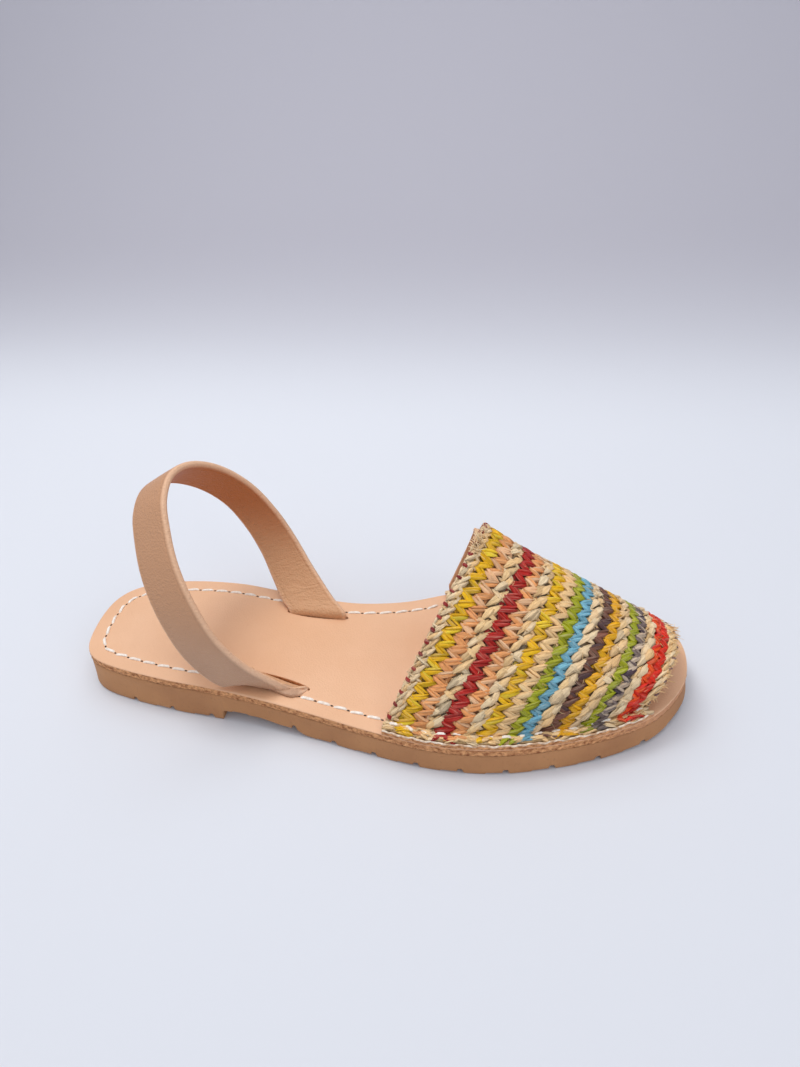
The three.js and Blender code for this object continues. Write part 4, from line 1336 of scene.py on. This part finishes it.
# Path of one whip, in mm: distance in from the edge, and depth under the skin.
WHIP_PATH = [
    (1.1, 0.1), (0.75, -0.75), (0.1, -0.85), (-0.55, -0.3), (-0.6, 0.9), (-0.2, 2.2), (0.8, 2.4),
]
WHIP_SLANT = 0.9 * MM
WHIP_HALF_HEIGHT = 0.4 * MM
whip_bends = smooth_line(WHIP_PATH, 3) * MM
whip_batches = []
for order, (edge_along, way_in, whip_pitch, whip_half, whip_colour) in enumerate(WHIPPINGS):
    rng = np.random.default_rng(41 + order)
    edge_length = row_length(edge_along)
    count = round(edge_length / whip_pitch)
    whip_across = (np.arange(count) + 0.5) / count + rng.normal(0, 0.05 / count, count)
    lines = []
    ups = []
    for spot_across in whip_across:
        slant = np.linspace(-0.5, 0.5, len(whip_bends)) * WHIP_SLANT / edge_length
        spot, way = on_vamp(spot_across + slant, np.full(len(whip_bends), edge_along))
        inner, _ = on_vamp(spot_across + slant, np.full(len(whip_bends), edge_along + 0.02 * way_in))
        along_way = unit(inner - spot)
        path = spot + along_way * whip_bends[:, :1] - way * whip_bends[:, 1:]
        lines.append(path)
        row_way = unit(np.cross(way, along_way))
        ups.append(np.cross(unit(np.gradient(path, axis=0)), row_way))
    lines, ups = np.array(lines), np.array(ups)
    steps = lines.shape[1]
    thickness = np.exp(rng.normal(0, 0.14, (count, 1)))
    whip_points, whip_faces = strands(lines, ups, whip_half * thickness, WHIP_HALF_HEIGHT)
    tints = np.repeat(dyed(whip_colour, count, rng, 0.2), steps * len(ROUND), axis=0)
    notes = np.stack(np.broadcast_arrays(
        np.cos(ROUND)[None, None, :] * 0.6 + np.arange(count)[:, None, None] * 9.0,
        np.linspace(0, 6, steps)[None, :, None],
        np.zeros((1, 1, 1)),
    ), axis=-1).reshape(-1, 3)
    whip_batches.append((whip_points, whip_faces, tints, notes))
raffia_piece("edge_whipping", whip_batches)

# Lasted margin
# Along both feet the braids are pressed flat over the insole's edge: short crushed leaves in
# the colours of the braids above them, held down by cream stitches, with a pale cut edge.
MARGIN_LEAVES = 240
MARGIN_LENGTH = 0.39 * SOLE_LENGTH
MARGIN_LEAF = (0.98 * MM, 0.46 * MM)  # half width, half height
MARGIN_LEAF_HALF_LENGTHS = (1.5 * MM, 3.4 * MM)
MARGIN_LEAF_INSETS = (0.9 * MM, 4.9 * MM)
MARGIN_LEAF_REACH = (0.5 * MM, 5.6 * MM)  # in from the sole's edge, for all of a leaf
MARGIN_STITCH_INSET = 3.4 * MM
MARGIN_STITCH_PITCH = 5.9 * MM
MARGIN_STITCH_HALF_LENGTH = 1.9 * MM
EDGE_WAVER = 0.16 * MM
EDGE_STEPS = 261
PALE_EDGE = (0.36 * MM, 0.42 * MM)  # half width, half height
PALE_EDGE_INSET = 0.16 * MM
PALE_EDGE_DEPTH = 0.75 * MM
RAW_EDGE = (0.3 * MM, 0.9 * MM)
RAW_EDGE_INSET = 0.02 * MM
RAW_EDGE_DEPTH = 1.62 * MM


def pressed_leaves(side, rng):
    """Short crushed leaves that lie along one margin, in the colours of the braids there."""
    count = MARGIN_LEAVES
    middle = rng.uniform(0.0, 1.0, count)
    inset = rng.uniform(*MARGIN_LEAF_INSETS, count)
    half = rng.uniform(*MARGIN_LEAF_HALF_LENGTHS, count) / MARGIN_LENGTH
    turn_in = rng.normal(0, 0.8, count) * MM
    run = even_bends(LEAF_STEPS)[None, :] * 2 - 1
    share = np.clip(middle[:, None] + half[:, None] * run, -0.01, 1.01)
    depth = np.clip(inset[:, None] + turn_in[:, None] * run, *MARGIN_LEAF_REACH)
    lines = vamp_foot(side, share, depth)
    lines[..., 2] -= 0.5 * MM * np.clip(1.6 - depth / MM, 0, 1)
    lift = rng.uniform(0.0, 0.6, count)[:, None] * MM * (1 - run**2) - 0.25 * MM * np.abs(run) ** 3
    lines[..., 2] += lift
    over, across_over = braid_at(middle)
    tints = np.where(across_over[:, None] > 0.5, toe_tones[over], throat_tones[over])
    tints = tints * np.exp(rng.normal(0, 0.16, (count, 1)))
    straw = rng.random(count) < 0.3
    tints[straw] = dyed(STRAW, int(straw.sum()), rng, 0.12)
    tints = tints / np.maximum(tints.max(axis=1, keepdims=True), 1)
    return leaves(lines, straight_up(lines), *MARGIN_LEAF, tints, rng, 0.6, 0.3)


def margin_stitch_lines(side, rng):
    """Stitches along one margin, which dive into the raffia at both ends."""
    stitches = int(MARGIN_LENGTH / MARGIN_STITCH_PITCH)
    middles = (np.arange(stitches) + 0.5) / stitches
    run = np.linspace(-1, 1, STITCH_STEPS)[None, :]
    share = middles[:, None] + run * MARGIN_STITCH_HALF_LENGTH / MARGIN_LENGTH
    wander = rng.normal(0, 0.35, (stitches, 1)) * MM + rng.normal(0, 0.35, (stitches, 1)) * MM * run
    line = vamp_foot(side, share, MARGIN_STITCH_INSET + wander)
    line[..., 2] += (rng.uniform(0.3, 0.85, (stitches, 1)) - 1.1 * np.abs(run) ** 4) * MM
    return line


def cut_edge_lines(side):
    """The pale cut edge of one margin, and the raw side below it."""
    share = np.linspace(-0.005, 1.005, EDGE_STEPS)[None, :]
    waver = EDGE_WAVER * (np.sin(share * 71) + np.sin(share * 173 + 1) * 0.8)
    pale = vamp_foot(side, share, PALE_EDGE_INSET + waver)
    pale[..., 2] += 0.12 * MM * np.sin(share * 97 + 2) - PALE_EDGE_DEPTH
    raw = vamp_foot(side, share, RAW_EDGE_INSET + waver * 0.4)
    raw[..., 2] -= RAW_EDGE_DEPTH
    return pale, raw


SEEDS = {"lateral": 57, "medial": 58}
draws = {side: np.random.default_rng(seed) for side, seed in SEEDS.items()}
margin_batches = [pressed_leaves(side, rng) for side, rng in draws.items()]
stitch_lines = [margin_stitch_lines(side, rng) for side, rng in draws.items()]
pale_edge_lines, raw_edge_lines = zip(*[cut_edge_lines(side) for side in SEEDS])
raffia_piece("pressed_margin", margin_batches)

lines = np.concatenate(stitch_lines)
margin_points, margin_faces = strands(
    lines, straight_up(lines), THREAD_HALF_WIDTH * taper, THREAD_HALF_HEIGHT * taper, ROUND, three_cords)
margin_stitches = mesh_piece("margin_stitches", margin_points, margin_faces, thread)
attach(margin_stitches, "root")

lines = np.concatenate(raw_edge_lines)
raw_points, raw_faces = strands(lines, straight_up(lines), *RAW_EDGE)
raw_margin = mesh_piece("margin_raw_side", raw_points, raw_faces, raw_leather)
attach(raw_margin, "root")

lines = np.concatenate(pale_edge_lines)
pale_points, pale_faces = strands(lines, straight_up(lines), *PALE_EDGE)
frayed, tree, shader = new_finish("frayed_cut_edge", 0.85)
place = node(tree, "ShaderNodeTexCoord").outputs["Object"]
clouds = noise(tree, place, 480.0, 3.0)
tones = toned(tree, clouds, 0.36, colour(196, 158, 122), 0.6, colour(242, 226, 204))
tree.links.new(tones, shader.inputs["Base Color"])
pale_edge = mesh_piece("margin_cut_edge", pale_points, pale_faces, frayed)
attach(pale_edge, "root")

# Loose raffia
# Split fibres stand out of the weave: a short fringe along the free toe edge, a tuft at the
# top of the throat, and single hairs all over.
HAIR_AROUND = np.radians([30, 150, 270])
HAIR_STEPS = 5
HAIR_START = 0.5 * MM  # over the skin, in the thick of the leaves
# Where the hairs grow: count, across from and to, along from and to, length in mm, how
# upright, half thickness in mm, way they point (0 toeward, 1 heelward).
HAIR_FIELDS = [
    (300, 0.03, 0.97, 0.972, 1.0, 1.7, 0.3, 0.2, 0),
    (16, 0.6, 0.72, 0.975, 1.0, 3.0, 0.9, 0.16, 0),
    (64, 0.49, 0.565, -0.004, 0.03, 2.5, 0.9, 0.24, 1),
    (60, 0.02, 0.98, 0.0, 0.04, 1.6, 0.4, 0.14, 1),
    (420, 0.0, 1.0, 0.03, 0.97, 1.8, 0.3, 0.11, 0),
]
hair_batches = []
for field, spread_of in enumerate(HAIR_FIELDS):
    count, across_from, across_to, along_from, along_to, length, upright, half, back = spread_of
    rng = np.random.default_rng(70 + field)
    spot_across = rng.uniform(across_from, across_to, count)
    spot_along = rng.uniform(along_from, along_to, count)
    spot, way = on_vamp(spot_across, spot_along)
    ahead, _ = on_vamp(spot_across, spot_along + 0.01)
    toeward = unit(ahead - spot)
    sideways = np.cross(way, toeward)
    heading = rng.normal(0, 0.8, count)[:, None] + math.pi * back
    flat_way = toeward * np.cos(heading) + sideways * np.sin(heading)
    hair_length = length * MM * np.exp(rng.normal(0, 0.3, (count, 1, 1)))
    run = np.linspace(0, 1, HAIR_STEPS)[None, :, None]
    rise = upright * np.exp(rng.normal(0, 0.4, (count, 1, 1)))
    curl = rng.normal(0, 0.5, (count, 1, 1))
    path = (
        spot[:, None] + way[:, None] * (HAIR_START + hair_length * rise * run * (1 - 0.35 * run))
        + flat_way[:, None] * hair_length * run
        + np.cross(way, flat_way)[:, None] * hair_length * curl * run**2
    )
    slim = half * MM * (1 - 0.6 * run[..., 0]) * np.exp(rng.normal(0, 0.25, (count, 1)))
    ups = np.broadcast_to(way[:, None], path.shape)
    points, faces = strands(path, ups, slim, slim, HAIR_AROUND)
    per_hair = HAIR_STEPS * len(HAIR_AROUND)
    tints = np.repeat(dyed(PALE_STRAW if back else STRAW, count, rng, 0.12), per_hair, axis=0)
    notes = np.repeat(rng.uniform(0, 90, (count, 3)), per_hair, axis=0)
    hair_batches.append((points, faces, tints, notes))
raffia_piece("loose_raffia", hair_batches)
